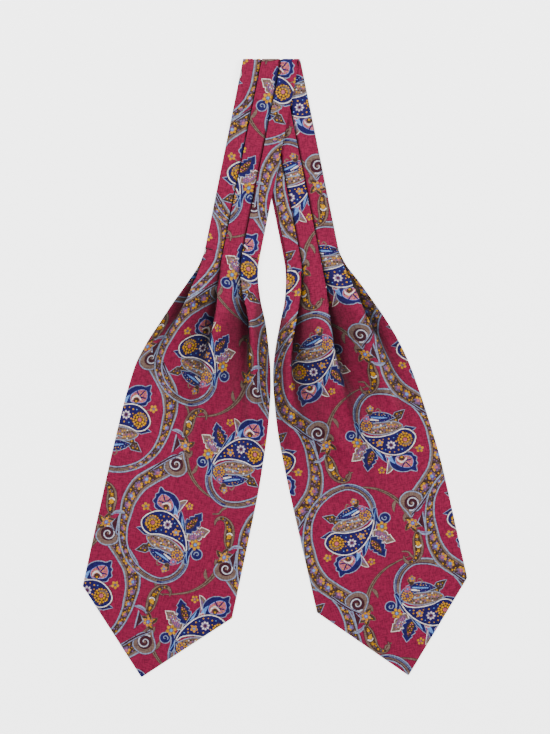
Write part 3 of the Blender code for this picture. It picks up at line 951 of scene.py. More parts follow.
    def across_out(self, angle: np.ndarray | float) -> tuple[np.ndarray | float, np.ndarray | float]:
        """Outward direction in plan for a tilt."""
        return self.side.value * np.cos(angle), np.sin(angle)

    def along_down(self, angle: float) -> tuple[float, float]:
        """Downward direction in plan for a tilt."""
        return self.side.value * math.sin(angle), -math.cos(angle)

    def fold_middle(self) -> float:
        """Where the half's centre line meets the fold line."""
        return self.fold_centre + self.side.value * math.pi * self.turn_drift * math.tan(self.band_tilt) / 2

    def plan(self, v: np.ndarray, across: np.ndarray) -> tuple[np.ndarray, np.ndarray]:
        """Place points in plan, unfolded past the fold line.

        Args:
            v: Length below the tack.
            across: Distance outward from the centre line.

        Returns:
            X and Y before the whole is centred.
        """
        down, out = self.along_down(self.band_tilt), self.across_out(self.band_tilt)
        on_band = np.minimum(v, 0.0) + self.band_length
        tack_x, tack_y = self.fold_middle() + down[0] * on_band, self.fold_line + down[1] * on_band
        below = np.maximum(v, 0.0)
        leaning = self.along_down(self.tilt)
        turned = self.band_tilt + (self.tilt - self.band_tilt) * ease(below / self.turn_length)
        out = self.across_out(turned)
        return (
            tack_x + leaning[0] * below + out[0] * across,
            tack_y + leaning[1] * below + out[1] * across,
        )

    def ridge_height(self, across: np.ndarray, v: np.ndarray) -> np.ndarray:
        """Extra height of the soft ridges at places across and down from the tack."""
        total = np.zeros_like(v)
        for ridge in self.ridges:
            start = np.array([ridge.start_across, ridge.start_down])
            way = np.array([ridge.end_across, ridge.end_down]) - start
            length = float(np.hypot(*way))
            x, y = across - start[0], v - start[1]
            along = (x * way[0] + y * way[1]) / length
            beside = (x * way[1] - y * way[0]) / length
            bow = beside + self.ridge_bow * length * np.sin(math.pi * along / length)
            taper = np.sin(math.pi * np.clip(along / length, 0, 1)) ** 1.2
            total += ridge.height * taper * np.exp(-((bow / ridge.breadth) ** 2))
        return total

    def lay(self, u: np.ndarray, v: np.ndarray, under: "HalfForm | None" = None) -> np.ndarray:
        """Lay places of the cloth in space, at the middle of its thickness.

        Args:
            u: Place across the cloth from the free edge.
            v: Place down from the tack.
            under: The other half, where this one lies across it.

        Returns:
            One row of X, Y and Z for each place.
        """
        from_inner = self.read(self.across_table, u, v)
        height = self.read(self.height_table, u, v)
        inner = np.interp(v, self.stations, self.inner_table)
        across = from_inner - inner
        x, y = self.plan(v, across)
        lowest = self.floor_gap + self.thickness / 2
        rise = ease((v + self.rise_length) / self.rise_length) * (self.lining_top - self.floor_gap)
        base = lowest + rise
        loose = ease((v - self.loose_from) / self.loose_length)
        edge = np.minimum(u, self.cloth_width - u)
        height = height + loose * ease(edge / self.edge_length) * self.ridge_height(across, v)
        if under is None:
            return np.column_stack([x + self.shift[0], y + self.shift[1], base + height]) * MM
        stack = 2 * self.pitch + self.pitch
        lifted = stack * under.covers(x, y, self.drape_margin, self.drape_reach)
        z = base + height + np.maximum(0.0, lifted - rise * (lifted > 0))
        over = np.maximum(0.0, y - self.fold_line)
        axis = lowest + 2 * self.pitch + self.pitch / 2
        middle_radius = 1.5 * self.pitch
        turn = np.minimum(over / middle_radius, math.pi)
        past = np.maximum(0.0, over - math.pi * middle_radius)
        radius = height + self.pitch / 2
        wrapped_y = self.fold_line + radius * np.sin(turn) - past
        wrapped_z = axis + radius * np.cos(turn)
        turning = over > 0
        y = np.where(turning, wrapped_y, y)
        z = np.where(turning, wrapped_z, z)
        return np.column_stack([x + self.shift[0], y + self.shift[1], z]) * MM

    def covers(self, x: np.ndarray, y: np.ndarray, margin: float, reach: float) -> np.ndarray:
        """How far this half's band holds up cloth laid on it: 1 on it, easing to 0 beside it."""
        out = self.across_out(self.band_tilt)
        from_inner = (x - self.fold_middle()) * out[0] + (y - self.fold_line) * out[1] + self.band_width / 2
        return 1 - ease((-margin - from_inner) / reach)

    def band_edge(self, u: np.ndarray, past_fold: float) -> np.ndarray:
        """The v of the line across the band where it is some way past the fold line."""
        from_inner = self.read(self.across_table, u, np.zeros_like(u))
        across = from_inner - self.band_width / 2
        return across * math.tan(self.band_tilt) - past_fold / math.cos(self.band_tilt) - self.band_length


PLEATS = (
    PleatRow(0, 180, 15.6, 1.18),
    PleatRow(35, 178, 13.4, 1.5),
    PleatRow(50, 166, 9.9, 2.0),
    PleatRow(62, 146, 6.4, 2.6),
    PleatRow(80, 108, 3.0, 3.7),
    PleatRow(100, 72, 1.2, 5.2),
    PleatRow(120, 46, 0.3, 6.8),
    PleatRow(140, 30, 0.1, 7.2),
    PleatRow(170, 14, 0.1, 7.0),
    PleatRow(200, 5, 0.1, 6.0),
    PleatRow(230, 0.5, 0.1, 5.2),
)

LEFT_FORM = HalfForm(
    side=Side.LEFT,
    tilt=math.radians(12.1),
    folds_at_tack=(17.0, 36.2, 54.6),
    opening_rate=(1.06, 1.0, 1.22),
    inner_inset=0.0,
    outer_inset=3.0,
    shoulder=355.7,
    point=432.2,
    outline=(
        OutlineRow(0, 27.5, 27.5), OutlineRow(14, 29.2, 29.2), OutlineRow(38, 36.8, 38.0),
        OutlineRow(60, 46.8, 47.4), OutlineRow(82, 54.6, 56.0), OutlineRow(106, 61.8, 65.1),
        OutlineRow(132, 67.3, 71.6), OutlineRow(180, 72.8, 74.8), OutlineRow(240, 75.6, 75.8),
        OutlineRow(360, 76.0, 76.3),
    ),
    ridges=(
        Ridge(-40, 60, -52, 170, 7, 3.6), Ridge(-18, 90, -20, 250, 8, 3.4), Ridge(6, 100, 6, 240, 7, 3.2),
        Ridge(24, 70, 42, 190, 8, 3.4), Ridge(-58, 170, -40, 300, 12, 1.5), Ridge(36, 210, 48, 330, 13, 1.4),
        Ridge(-20, 260, 8, 370, 14, 1.1),
    ),
    pleats=PLEATS,
)

RIGHT_FORM = HalfForm(
    side=Side.RIGHT,
    tilt=math.radians(13.0),
    folds_at_tack=(15.8, 35.0, 54.0),
    opening_rate=(0.84, 0.78, 1.0),
    inner_inset=3.0,
    outer_inset=0.0,
    shoulder=350.2,
    point=431.8,
    outline=(
        OutlineRow(0, 27.5, 27.5), OutlineRow(14, 29.2, 30.2), OutlineRow(38, 35.6, 40.5),
        OutlineRow(60, 45.6, 49.6), OutlineRow(82, 55.2, 58.3), OutlineRow(106, 63.5, 65.8),
        OutlineRow(132, 68.5, 71.2), OutlineRow(180, 73.3, 76.5), OutlineRow(240, 74.6, 79.8),
        OutlineRow(360, 74.8, 79.0),
    ),
    ridges=(
        Ridge(-36, 70, -48, 190, 8, 3.4), Ridge(0, 120, 16, 185, 6, 3.2), Ridge(-25, 135, -7, 215, 7, 3.0),
        Ridge(32, 74, 50, 180, 8, 3.4), Ridge(16, 200, 46, 150, 8, 2.0), Ridge(-50, 190, -36, 320, 13, 1.4),
        Ridge(30, 250, 20, 360, 14, 1.1),
    ),
    pleats=PLEATS,
)


LEFT_PRINT = PaisleyPrint(
    start=(-11.5, 104.5),
    flower_up=True,
    along=180.0,
    skew=10.0,
    lean=6.5,
    mirror_offset=(61.5, 91.0),
    ring_turned=(0.0, 4.0),
    spray_turned=(0.0, 5.0),
    horn_offset=((0.0, -4.0), (-6.0, -12.0)),
    spray_height=1.0,
)

RIGHT_PRINT = PaisleyPrint(
    start=(31.0, 198.0),
    flower_up=False,
    along=175.0,
    skew=4.0,
    lean=0.0,
    mirror_offset=(56.5, 88.5),
    ring_turned=(2.0, 4.0),
    spray_turned=(6.0, 7.0),
    horn_offset=((0.0, -4.0), (0.0, -4.0)),
    spray_height=0.93,
)


@dataclass(frozen=True)
class SilkFinish:
    """Printed silk twill: ink colours from the cloth with painted shade in its folds, slub streaks, a fine
    twill and a soft sheen.
    """

    roughness: float = 0.6
    sheen: float = 0.03
    sheen_roughness: float = 0.4
    specular: float = 0.12
    slub: float = 0.75
    slub_scales: tuple[tuple[float, ...], ...] = ((900.0, 170.0, 1.0), (190.0, 900.0, 1.0))
    slub_detail: float = 3.0
    slub_range: Pair = (0.40, 0.57)
    slub_dark: tuple[float, ...] = (0.34, 0.28, 0.36, 1.0)
    twill: float = 0.10
    twill_scale: float = 700.0
    twill_distortion: float = 0.6
    twill_depth: float = 0.0002

    def material(self, name: str) -> bpy.types.Material:
        """Build the cloth's material.

        Args:
            name: Name of the material.

        Returns:
            The node material, which reads the print, darkened by painted shade in the folds, from the cloth's
            colour attribute.
        """
        made = bpy.data.materials.new(name)
        made.use_nodes = True
        nodes, links = made.node_tree.nodes, made.node_tree.links
        shader = nodes["Principled BSDF"]
        shader.inputs["Roughness"].default_value = self.roughness
        shader.inputs["Sheen Weight"].default_value = self.sheen
        shader.inputs["Sheen Roughness"].default_value = self.sheen_roughness
        shader.inputs["Specular IOR Level"].default_value = self.specular
        print_and_painted_shade_node = nodes.new("ShaderNodeAttribute")
        # The Print attribute carries the print with painted shade in the folds
        print_and_painted_shade_node.attribute_name = "Print"
        place = nodes.new("ShaderNodeUVMap")
        place.uv_map = "Cloth"
        streaks = self.streaks(made, place)
        shade = nodes.new("ShaderNodeMix")
        shade.data_type = "RGBA"
        shade.blend_type = "MULTIPLY"
        shade.inputs["Factor"].default_value = self.slub
        links.new(print_and_painted_shade_node.outputs["Color"], shade.inputs["A"])
        links.new(streaks, shade.inputs["B"])
        links.new(shade.outputs["Result"], shader.inputs["Base Color"])
        wave = nodes.new("ShaderNodeTexWave")
        wave.wave_type = "BANDS"
        wave.bands_direction = "DIAGONAL"
        wave.inputs["Scale"].default_value = self.twill_scale
        wave.inputs["Distortion"].default_value = self.twill_distortion
        links.new(place.outputs["UV"], wave.inputs["Vector"])
        bump = nodes.new("ShaderNodeBump")
        bump.inputs["Strength"].default_value = self.twill
        bump.inputs["Distance"].default_value = self.twill_depth
        links.new(wave.outputs["Fac"], bump.inputs["Height"])
        links.new(bump.outputs["Normal"], shader.inputs["Normal"])
        return made

    def streaks(self, made: bpy.types.Material, place: bpy.types.Node) -> bpy.types.NodeSocket:
        """Build the slub: short dark streaks along both threads.

        Args:
            made: Material that gets the nodes.
            place: Node that gives the place on the flat cloth, in metres.

        Returns:
            A colour socket, white where the cloth is plain.
        """
        nodes, links = made.node_tree.nodes, made.node_tree.links
        add = nodes.new("ShaderNodeMath")
        add.operation = "ADD"
        for socket, scale in zip(add.inputs, self.slub_scales):
            mapping = nodes.new("ShaderNodeMapping")
            mapping.inputs["Scale"].default_value = scale
            links.new(place.outputs["UV"], mapping.inputs["Vector"])
            noise = nodes.new("ShaderNodeTexNoise")
            noise.inputs["Scale"].default_value = 1.0
            noise.inputs["Detail"].default_value = self.slub_detail
            links.new(mapping.outputs["Vector"], noise.inputs["Vector"])
            links.new(noise.outputs["Fac"], socket)
        ramp = nodes.new("ShaderNodeValToRGB")
        for stop, place_on, colour in zip(ramp.color_ramp.elements, self.slub_range, (self.slub_dark, WHITE)):
            stop.position = place_on
            stop.color = colour
        halved = nodes.new("ShaderNodeMath")
        halved.operation = "MULTIPLY"
        halved.inputs[1].default_value = 0.5
        links.new(add.outputs["Value"], halved.inputs[0])
        links.new(halved.outputs["Value"], ramp.inputs["Fac"])
        return ramp.outputs["Color"]


class Sheet(NamedTuple):
    """A flat triangulation: its places, triangles, inks and boundary loop."""

    places: np.ndarray
    triangles: np.ndarray
    inks: list[Ink]
    loop: np.ndarray


def triangulate(border: np.ndarray, shapes: Iterable[Shape], grid: np.ndarray,
                lines: Sequence[np.ndarray] = ()) -> Sheet:
    """Cut a flat sheet along the edges of its print.

    Args:
        border: The sheet's closed outline.
        shapes: Printed areas, the lowest first.
        grid: Extra places that let the sheet bend.
        lines: Lines that no triangle may cross.

    Returns:
        The cut sheet, with the topmost ink of each triangle.
    """
    places: list[np.ndarray] = []
    faces: list[list[int]] = []
    edges: list[tuple[int, int]] = []
    inks: list[Ink] = [Ink.CRIMSON]
    count = 0
    for outline, ink in [(border, Ink.CRIMSON), *shapes]:
        if signed_area(outline) < 0:
            outline = outline[::-1]
        places.append(outline)
        faces.append(list(range(count, count + len(outline))))
        inks.append(ink)
        count += len(outline)
    for line in lines:
        places.append(line)
        edges += [(count + k, count + k + 1) for k in range(len(line) - 1)]
        count += len(line)
    places.append(grid)
    everything = [Vector((float(x), float(y))) for x, y in np.vstack(places)]
    points, _, triangles, _, _, sources = delaunay_2d_cdt(
        everything, edges, faces, INSIDE_ONLY, MERGE_WITHIN, True
    )
    kept, colours = [], []
    for triangle, source in zip(triangles, sources):
        if 0 in source:
            kept.append(triangle)
            colours.append(inks[max(source) + 1])
    used = np.unique(np.array(kept))
    renumber = {int(old): new for new, old in enumerate(used)}
    corners = np.array([[renumber[i] for i in triangle] for triangle in kept])
    flat = np.array([points[i] for i in used])
    return Sheet(flat, corners, colours, boundary_loop(corners))


def boundary_loop(triangles: np.ndarray) -> np.ndarray:
    """Order the border's places of a triangulation, the way its triangles run."""
    sides = {}
    for a, b, c in triangles:
        for start, end in ((a, b), (b, c), (c, a)):
            if (end, start) in sides:
                del sides[(end, start)]
            else:
                sides[(start, end)] = True
    following = {start: end for start, end in sides}
    first = next(iter(following))
    loop = [first]
    while following[loop[-1]] != first:
        loop.append(following[loop[-1]])
    return np.array(loop)


@dataclass
class Shell:
    """A closed thin shell of cloth laid from a printed sheet, with its own underside and a round rim."""

    name: str
    thickness: float
    lay: Callable[[np.ndarray, np.ndarray], np.ndarray]
    # Painted shade: the share of the print's colour kept at places of the cloth
    shade: Callable[[np.ndarray], np.ndarray]
    step: float = 0.12

    def frame_at(self, places: np.ndarray) -> tuple[np.ndarray, np.ndarray]:
        """Position and unit normal of places on the cloth, in metres."""
        u, v = places[:, 0], places[:, 1]
        centre = self.lay(u, v)
        along_u = self.lay(u + self.step, v) - self.lay(u - self.step, v)
        along_v = self.lay(u, v + self.step) - self.lay(u, v - self.step)
        normal = np.cross(along_u, along_v)
        length = np.maximum(np.linalg.norm(normal, axis=1), TINY * MM)
        return centre, normal / length[:, None]

    def build(self, top: Sheet, under: Sheet, flip: bool, material: bpy.types.Material) -> bpy.types.Object:
        """Make the shell's mesh.

        Args:
            top: The printed side.
            under: The other side, on the same border.
            flip: Whether the cloth's normal has to be turned over to point up.
            material: The cloth's material.

        Returns:
            The closed shell, with its print darkened by painted shade in the folds, and smooth normals.
        """
        sign = -1.0 if flip else 1.0
        half = self.thickness * MM / 2
        top_centre, top_normal = self.frame_at(top.places)
        under_centre, under_normal = self.frame_at(under.places)
        top_normal, under_normal = sign * top_normal, sign * under_normal
        vertices = [top_centre + top_normal * half, under_centre - under_normal * half]
        count_top, count_under = len(top.places), len(under.places)
        loop_top, loop_under = top.loop, under.loop + count_top
        ahead = np.roll(top_centre[top.loop], -1, axis=0) - np.roll(top_centre[top.loop], 1, axis=0)
        rim_out = sign * np.cross(ahead, top_normal[top.loop])
        rim_out /= np.maximum(np.linalg.norm(rim_out, axis=1), TINY * MM)[:, None]
        vertices.append(top_centre[top.loop] + rim_out * half)
        rim = np.arange(len(top.loop)) + count_top + count_under
        flat_faces = [tri if sign > 0 else tri[::-1] for tri in top.triangles]
        flat_faces += [tri + count_top if sign < 0 else tri[::-1] + count_top for tri in under.triangles]
        rim_faces = []
        for k in range(len(rim)):
            n = (k + 1) % len(rim)
            upper = [loop_top[k], rim[k], rim[n], loop_top[n]]
            lower = [rim[k], loop_under[k], loop_under[n], rim[n]]
            for quad in (upper, lower):
                rim_faces.append(quad if sign > 0 else quad[::-1])
        mesh = bpy.data.meshes.new(self.name)
        faces = [list(map(int, face)) for face in (*flat_faces, *rim_faces)]
        mesh.from_pydata(np.vstack(vertices).tolist(), [], faces)
        mesh.materials.append(material)
        mesh.polygons.foreach_set("use_smooth", np.ones(len(mesh.polygons), bool))
        normals = np.vstack([top_normal, -under_normal, rim_out])
        mesh.normals_split_custom_set_from_vertices(normals.tolist())
        # Painted shade: the print is darkened inside the folds, on the top, the underside and the rim
        top_painted_shade, under_painted_shade = self.shade(top.places), self.shade(under.places)
        rim_colours_with_painted_shade = [
            np.array(ink.value) * (share, share, share, 1.0)
            for ink, share in zip(self.rim_inks(top), top_painted_shade[top.loop])
        ]
        self.paint(mesh, np.vstack([
            self.corner_colours_with_painted_shade(top, top_painted_shade, sign > 0),
            self.corner_colours_with_painted_shade(under, under_painted_shade, sign < 0),
            np.repeat(rim_colours_with_painted_shade, 8, axis=0),
        ]))
        self.map_cloth(mesh, np.vstack([top.places, under.places, top.places[top.loop]]))
        return linked(self.name, mesh)

    @staticmethod
    def rim_inks(top: Sheet) -> list[Ink]:
        """The ink beside each edge of the sheet's border."""
        beside = {}
        for triangle, ink in zip(top.triangles, top.inks):
            for k in range(3):
                beside[(triangle[k], triangle[(k + 1) % 3])] = ink
        return [beside[(a, b)] for a, b in zip(top.loop, np.roll(top.loop, -1))]

    @staticmethod
    def corner_colours_with_painted_shade(sheet: Sheet, shade: np.ndarray, forward: bool) -> np.ndarray:
        """The ink at each corner of each triangle, darkened by painted shade in the folds."""
        inks = np.repeat(np.array([ink.value for ink in sheet.inks]), 3, axis=0)
        corners = sheet.triangles if forward else sheet.triangles[:, ::-1]
        share = shade[corners.ravel()]
        return inks * np.column_stack([share, share, share, np.ones_like(share)])

    @staticmethod
    def paint(mesh: bpy.types.Mesh, corner_colours_with_painted_shade: np.ndarray) -> None:
        """Store the print, darkened by painted shade in the folds, as one colour for each corner."""
        # The Print attribute holds the print's inks darkened by painted shade in the folds
        layer = mesh.color_attributes.new("Print", "FLOAT_COLOR", "CORNER")
        layer.data.foreach_set("color", corner_colours_with_painted_shade.astype(np.float32).ravel())

    @staticmethod
    def map_cloth(mesh: bpy.types.Mesh, places: np.ndarray) -> None:
        """Store each corner's place on the flat cloth, in metres, for the weave."""
        layer = mesh.uv_layers.new(name="Cloth")
        corners = np.empty(len(mesh.loops), np.int32)
        mesh.loops.foreach_get("vertex_index", corners)
        layer.data.foreach_set("uv", (places[corners] * MM).astype(np.float32).ravel())


class GridSteps(NamedTuple):
    """Distances between the places where a cloth may bend, in millimetres."""

    band: float
    pleats: float
    blade: float
    across: float


FINE_STEPS = GridSteps(band=7.0, pleats=3.5, blade=6.0, across=3.8)
COARSE_STEPS = GridSteps(band=14.0, pleats=4.2, blade=7.0, across=3.2)


@dataclass
class CravatHalf:
    """One half of the cravat: its pleated cloth and its lining."""

    form: HalfForm
    under: HalfForm | None
    paisley: PaisleyPrint
    material: bpy.types.Material
    fine_end: float = 140.0
    line_end: float = 45.0
    # fold_light is the least share of the print's colour kept deep in a fold, for the painted shade
    fold_light: float = 0.03
    shut: float = 0.12
    # shade_power sets how fast the painted shade darkens the print in the folds
    shade_power: float = 2.8
    regular_columns: int = 66
    bend_share: float = 0.06
    line_step: float = 7.0
    turn_steps: int = 9
    side_step: float = 3.0
    foot_steps: int = 24
    lining_thickness: float = 0.5

    @property
    def word(self) -> str:
        """The half's name."""
        return self.form.side.name.lower()

    def columns(self) -> np.ndarray:
        """Places across the cloth where it may bend, closer at the pleats' bends."""
        form = self.form
        regular = np.arange(0.0, form.cloth_width + 0.01, form.cloth_width / self.regular_columns)
        return np.unique(np.round(np.concatenate([self.bend_columns(), regular]), 2))

    def bend_columns(self) -> np.ndarray:
        """Places across the cloth that lie in the tight bends of the pleats at the tack."""
        form = self.form
        tops = form.read(form.height_table, form.columns, np.zeros_like(form.columns))
        bending = np.abs(np.gradient(np.gradient(tops)))
        return form.columns[1:-1][bending[1:-1] > bending.max() * self.bend_share]

    def bend_lines(self) -> list[np.ndarray]:
        """Lines down the pleats' bends, which no triangle may cross."""
        lines = []
        for column in self.bend_columns():
            top = float(self.top_line(np.array([column]))[0]) + 0.05
            start = self.line_step - self.form.band_length
            down = np.concatenate([[top], np.arange(start, self.line_end, self.line_step)])
            lines.append(np.column_stack([np.full_like(down, column), down]))
        return lines

    def top_line(self, u: np.ndarray) -> np.ndarray:
        """The v of the cloth's upper end: round the fold for the upper half, just short of it below."""
        if self.under is not None:
            return self.form.band_edge(u, self.form.turn_run)
        return self.form.band_edge(u, -0.3)

    def border(self) -> np.ndarray:
        """Outline of the cloth, flat: the fold at its top and the point at its foot."""
        form = self.form
        columns = self.columns()
        top = np.column_stack([columns, self.top_line(columns)])
        middle = form.tip_across
        sides = np.arange(-180.0, form.shoulder, self.side_step)
        near = np.column_stack([np.zeros_like(sides), sides])
        far = np.column_stack([np.full_like(sides, form.cloth_width), sides])
        tip = form.point - 0.2
        foot = smooth_path([(form.cloth_width, form.shoulder), (middle + 0.4, tip)], self.foot_steps)
        foot_back = smooth_path([(middle - 0.4, tip), (0.0, form.shoulder)], self.foot_steps)
        return np.vstack([top, far, foot, foot_back, near[::-1]])

    def bend_grid(self, fine: bool) -> np.ndarray:
        """Places inside the border where the cloth may bend."""
        form = self.form
        steps = FINE_STEPS if fine else COARSE_STEPS
        columns = self.columns()[1:-1]
        rows = []
        lowest = tops = self.top_line(columns)
        if self.under is not None:
            turn = form.turn_run / math.cos(form.band_tilt)
            for share in np.arange(1, self.turn_steps) / self.turn_steps:
                rows.append(np.column_stack([columns, tops + share * turn]))
            lowest = tops + form.turn_run
        lowest = lowest + 1.0
        for v in np.arange(-form.band_length - 4, 0.0, steps.band):
            keep = v > lowest
            rows.append(np.column_stack([columns[keep], np.full(int(keep.sum()), v)]))
        for v in np.arange(0.0, self.fine_end, steps.pleats):
            rows.append(np.column_stack([columns, np.full(len(columns), v)]))
        wide = np.arange(1.5, form.cloth_width, steps.across)
        for v in np.arange(self.fine_end, form.point, steps.blade):
            keep = self.inside_point(wide, v, 1.0)
            rows.append(np.column_stack([wide[keep], np.full(int(keep.sum()), v)]))
        return np.vstack(rows)

    def inside_point(self, u: np.ndarray, v: float, margin: float) -> np.ndarray:
        """Tell which columns at a length below the tack lie inside the pointed end."""
        form, middle = self.form, self.form.tip_across
        share = np.clip((form.point - margin * 1.5 - v) / (form.point - form.shoulder), 0, 1)
        low, high = middle * (1 - share), middle + (form.cloth_width - middle) * share
        return (u > low + margin) & (u < high - margin)

    def lay(self, u: np.ndarray, v: np.ndarray) -> np.ndarray:
        """Lay the cloth's places in space."""
        return self.form.lay(np.clip(u, 0, self.form.cloth_width), v, self.under)

    def shade(self, places: np.ndarray) -> np.ndarray:
        """Painted shade at places of the cloth: the share of the print's colour kept, less inside its folds.
        """
        u = np.clip(places[:, 0], 0, self.form.cloth_width)
        sky = self.form.read(self.form.shade_table, u, places[:, 1])
        return self.fold_light + (1 - self.fold_light) * sky**self.shade_power

    def cloth(self) -> bpy.types.Object:
        """Make the printed cloth from the fold to the point."""
        form = self.form
        border = self.border()
        low = float(border[:, 1].min())
        pattern = self.paisley.shapes(low, form.point, form.cloth_width / 2)
        shapes = []
        for shape in pattern:
            u = form.side.value * shape.outline[:, 0] + form.cloth_width / 2
            outline = np.column_stack([u, shape.outline[:, 1]])
            if self.shade(outline).max() > self.shut:
                shapes.append(Shape(outline, shape.ink))
        top = triangulate(border, uncovered(shapes), self.bend_grid(True), self.bend_lines())
        under = triangulate(top.places[top.loop], (), self.bend_grid(False), self.bend_lines())
        under = self.same_border(top, under)
        shell = Shell(f"cloth_{self.word}", form.thickness, self.lay, self.shade)
        made = shell.build(top, under, self.form.side is Side.RIGHT, self.material)
        LOG.info("%s: %d printed triangles, %d under", made.name, len(top.triangles), len(under.triangles))
        return made

    @staticmethod
    def same_border(top: Sheet, under: Sheet) -> Sheet:
        """Start the underside's border loop where the top's starts, running the same way."""
        start = top.places[top.loop[0]]
        gaps = np.hypot(*(under.places[under.loop] - start).T)
        loop = np.roll(under.loop, -int(np.argmin(gaps)))
        if len(loop) != len(top.loop):
            raise ValueError("the two sides of a shell have different borders")
        return under._replace(loop=loop)

    def lining(self) -> bpy.types.Object:
        """Make the flat lining under the blade."""
        form, thickness = self.form, self.lining_thickness

        def flat(u: np.ndarray, v: np.ndarray) -> np.ndarray:
            """Lay the lining's places on the surface."""
            inner = np.interp(v, form.stations, form.inner_table)
            widths = np.array([sum(form.half_widths(float(s))) for s in form.stations])
            share = np.clip(u, 0, form.cloth_width) / form.cloth_width
            across = share * np.interp(v, form.stations, widths) - inner
            x, y = form.plan(v, across)
            z = np.full_like(x, 0.02 + thickness / 2)
            return np.column_stack([x + form.shift[0], y + form.shift[1], z]) * MM

        middle = form.tip_across
        sides = np.arange(0.4, form.shoulder, 4.0)
        border = np.vstack([
            np.column_stack([np.zeros_like(sides), sides])[::-1],
            smooth_path([(0.0, 0.3), (form.cloth_width, 0.3)], 20),
            np.column_stack([np.full_like(sides, form.cloth_width), sides]),
            smooth_path([(form.cloth_width, form.shoulder), (middle, form.point - 0.2)], 20)[:-1],
            smooth_path([(middle, form.point - 0.2), (0.0, form.shoulder)], 20),
        ])
        down, over = (np.arange(6.0, end, 9.0) for end in (form.shoulder, form.cloth_width))
        top = triangulate(border, (), np.array([(u, v) for v in down for u in over]))
        shell = Shell(f"lining_{self.word}", thickness, flat, lambda places: np.ones(len(places)))
        made = shell.build(top, top, self.form.side is Side.RIGHT, self.material)
        LOG.info("%s: %d triangles a side", made.name, len(top.triangles))
        return made


@dataclass(frozen=True)
class TackStitches:
    """Short bars of thread that hold the pleats at the foot of the neckband."""

    radius: float = 0.28
    length: float = 3.2
    edge_length: float = 8.0
    edge_radius: float = 0.6
    row_start: float = -0.9
    row_gap: float = 1.3
    edge_row: float = -0.4
    edge_share: float = 0.55
    sides: int = 8
    rings: int = 9
    thin_end: float = 0.35
    sunk: float = 0.16
    arched: float = 0.3
    colour: tuple[float, float, float, float] = linear(52, 8, 24)
    roughness: float = 0.5
    twist_scale: float = 900.0
    twist_depth: float = 0.0001

    def material(self) -> bpy.types.Material:
        """Build the thread's material, with a fine twist."""
        made = bpy.data.materials.new("silk_thread")
        made.use_nodes = True
        nodes, links = made.node_tree.nodes, made.node_tree.links
        shader = nodes["Principled BSDF"]
        shader.inputs["Base Color"].default_value = self.colour
        shader.inputs["Roughness"].default_value = self.roughness
        wave = nodes.new("ShaderNodeTexWave")
        wave.inputs["Scale"].default_value = self.twist_scale
        bump = nodes.new("ShaderNodeBump")
        bump.inputs["Distance"].default_value = self.twist_depth
        links.new(wave.outputs["Fac"], bump.inputs["Height"])
        links.new(bump.outputs["Normal"], shader.inputs["Normal"])
        return made

    def build(self, half: CravatHalf, material: bpy.types.Material) -> bpy.types.Object:
        """Make one half's stitches as small arched tubes across its pleat edges.

        Args:
            half: The half that they hold.
            material: The thread's material.

        Returns:
            One mesh of all the stitches.
        """
        form = half.form
        vertices, faces = [], []
        inset = self.edge_length * self.edge_share
        bars = [
            (fold, self.row_start + self.row_gap * row, self.length, self.radius)
            for fold in form.folds_at_tack
            for row in range(2)
        ]
        for edge in (inset, form.band_width - inset):
            bars.append((edge, self.edge_row, self.edge_length, self.edge_radius))
        for across, v, length, radius in bars:
            tube, quads = self.bar(half, across, v, length, radius)
            faces += [tuple(corner + len(vertices) for corner in quad) for quad in quads]
            vertices += tube
        mesh = bpy.data.meshes.new(f"tack_{half.word}")
        mesh.from_pydata(vertices, [], faces)
        mesh.polygons.foreach_set("use_smooth", np.ones(len(faces), bool))
        mesh.materials.append(material)
        return linked(mesh.name, mesh)

    def bar(self, half: CravatHalf, middle: float, v: float, length: float,
            radius: float) -> tuple[list[tuple[float, ...]], list[tuple[int, ...]]]:
        """Shape one stitch across a fold.

        Args:
            half: The half that it holds.
            middle: Place of its middle across the band.
            v: Its place down from the tack.
            length: Its length.
            radius: Its greatest radius.

        Returns:
            Its vertices and its faces.
        """
        form, sides, rings = half.form, self.sides, self.rings
        vertices, faces = [], []
        top = self.surface_height(half, v)
        for ring in range(rings):
            share = ring / (rings - 1)
            across = middle - form.band_width / 2 + (share - 0.5) * length
            x, y = form.plan(np.array([v]), np.array([across]))
            arch = max(math.sin(math.pi * share), 0.0)
            size = radius * (self.thin_end + (1 - self.thin_end) * arch**0.5)
            for k in range(sides):
                angle = 2 * math.pi * k / sides
                vertices.append((
                    (float(x[0]) + form.shift[0]) * MM,
                    (float(y[0]) + form.shift[1] + size * math.cos(angle)) * MM,
                    (top - self.sunk + self.arched * arch + size * math.sin(angle)) * MM,
                ))
        for ring in range(rings - 1):
            for k in range(sides):
                a, b = ring * sides + k, ring * sides + (k + 1) % sides
                faces.append((a, b, b + sides, a + sides))
        faces.append(tuple(range(sides))[::-1])
        faces.append(tuple((rings - 1) * sides + k for k in range(sides)))
        return vertices, faces

    @staticmethod
    def surface_height(half: CravatHalf, v: float) -> float:
        """Height of the band's top at the tack, just inside its first pleat."""
        u = np.array([8.0])
        return float(half.lay(u, np.array([v]))[0, 2]) / MM + half.form.thickness / 2


class Lamp(NamedTuple):
    """One square soft light, in metres and watts."""

    name: str
    place: tuple[float, float, float]
    size: float
    power: float


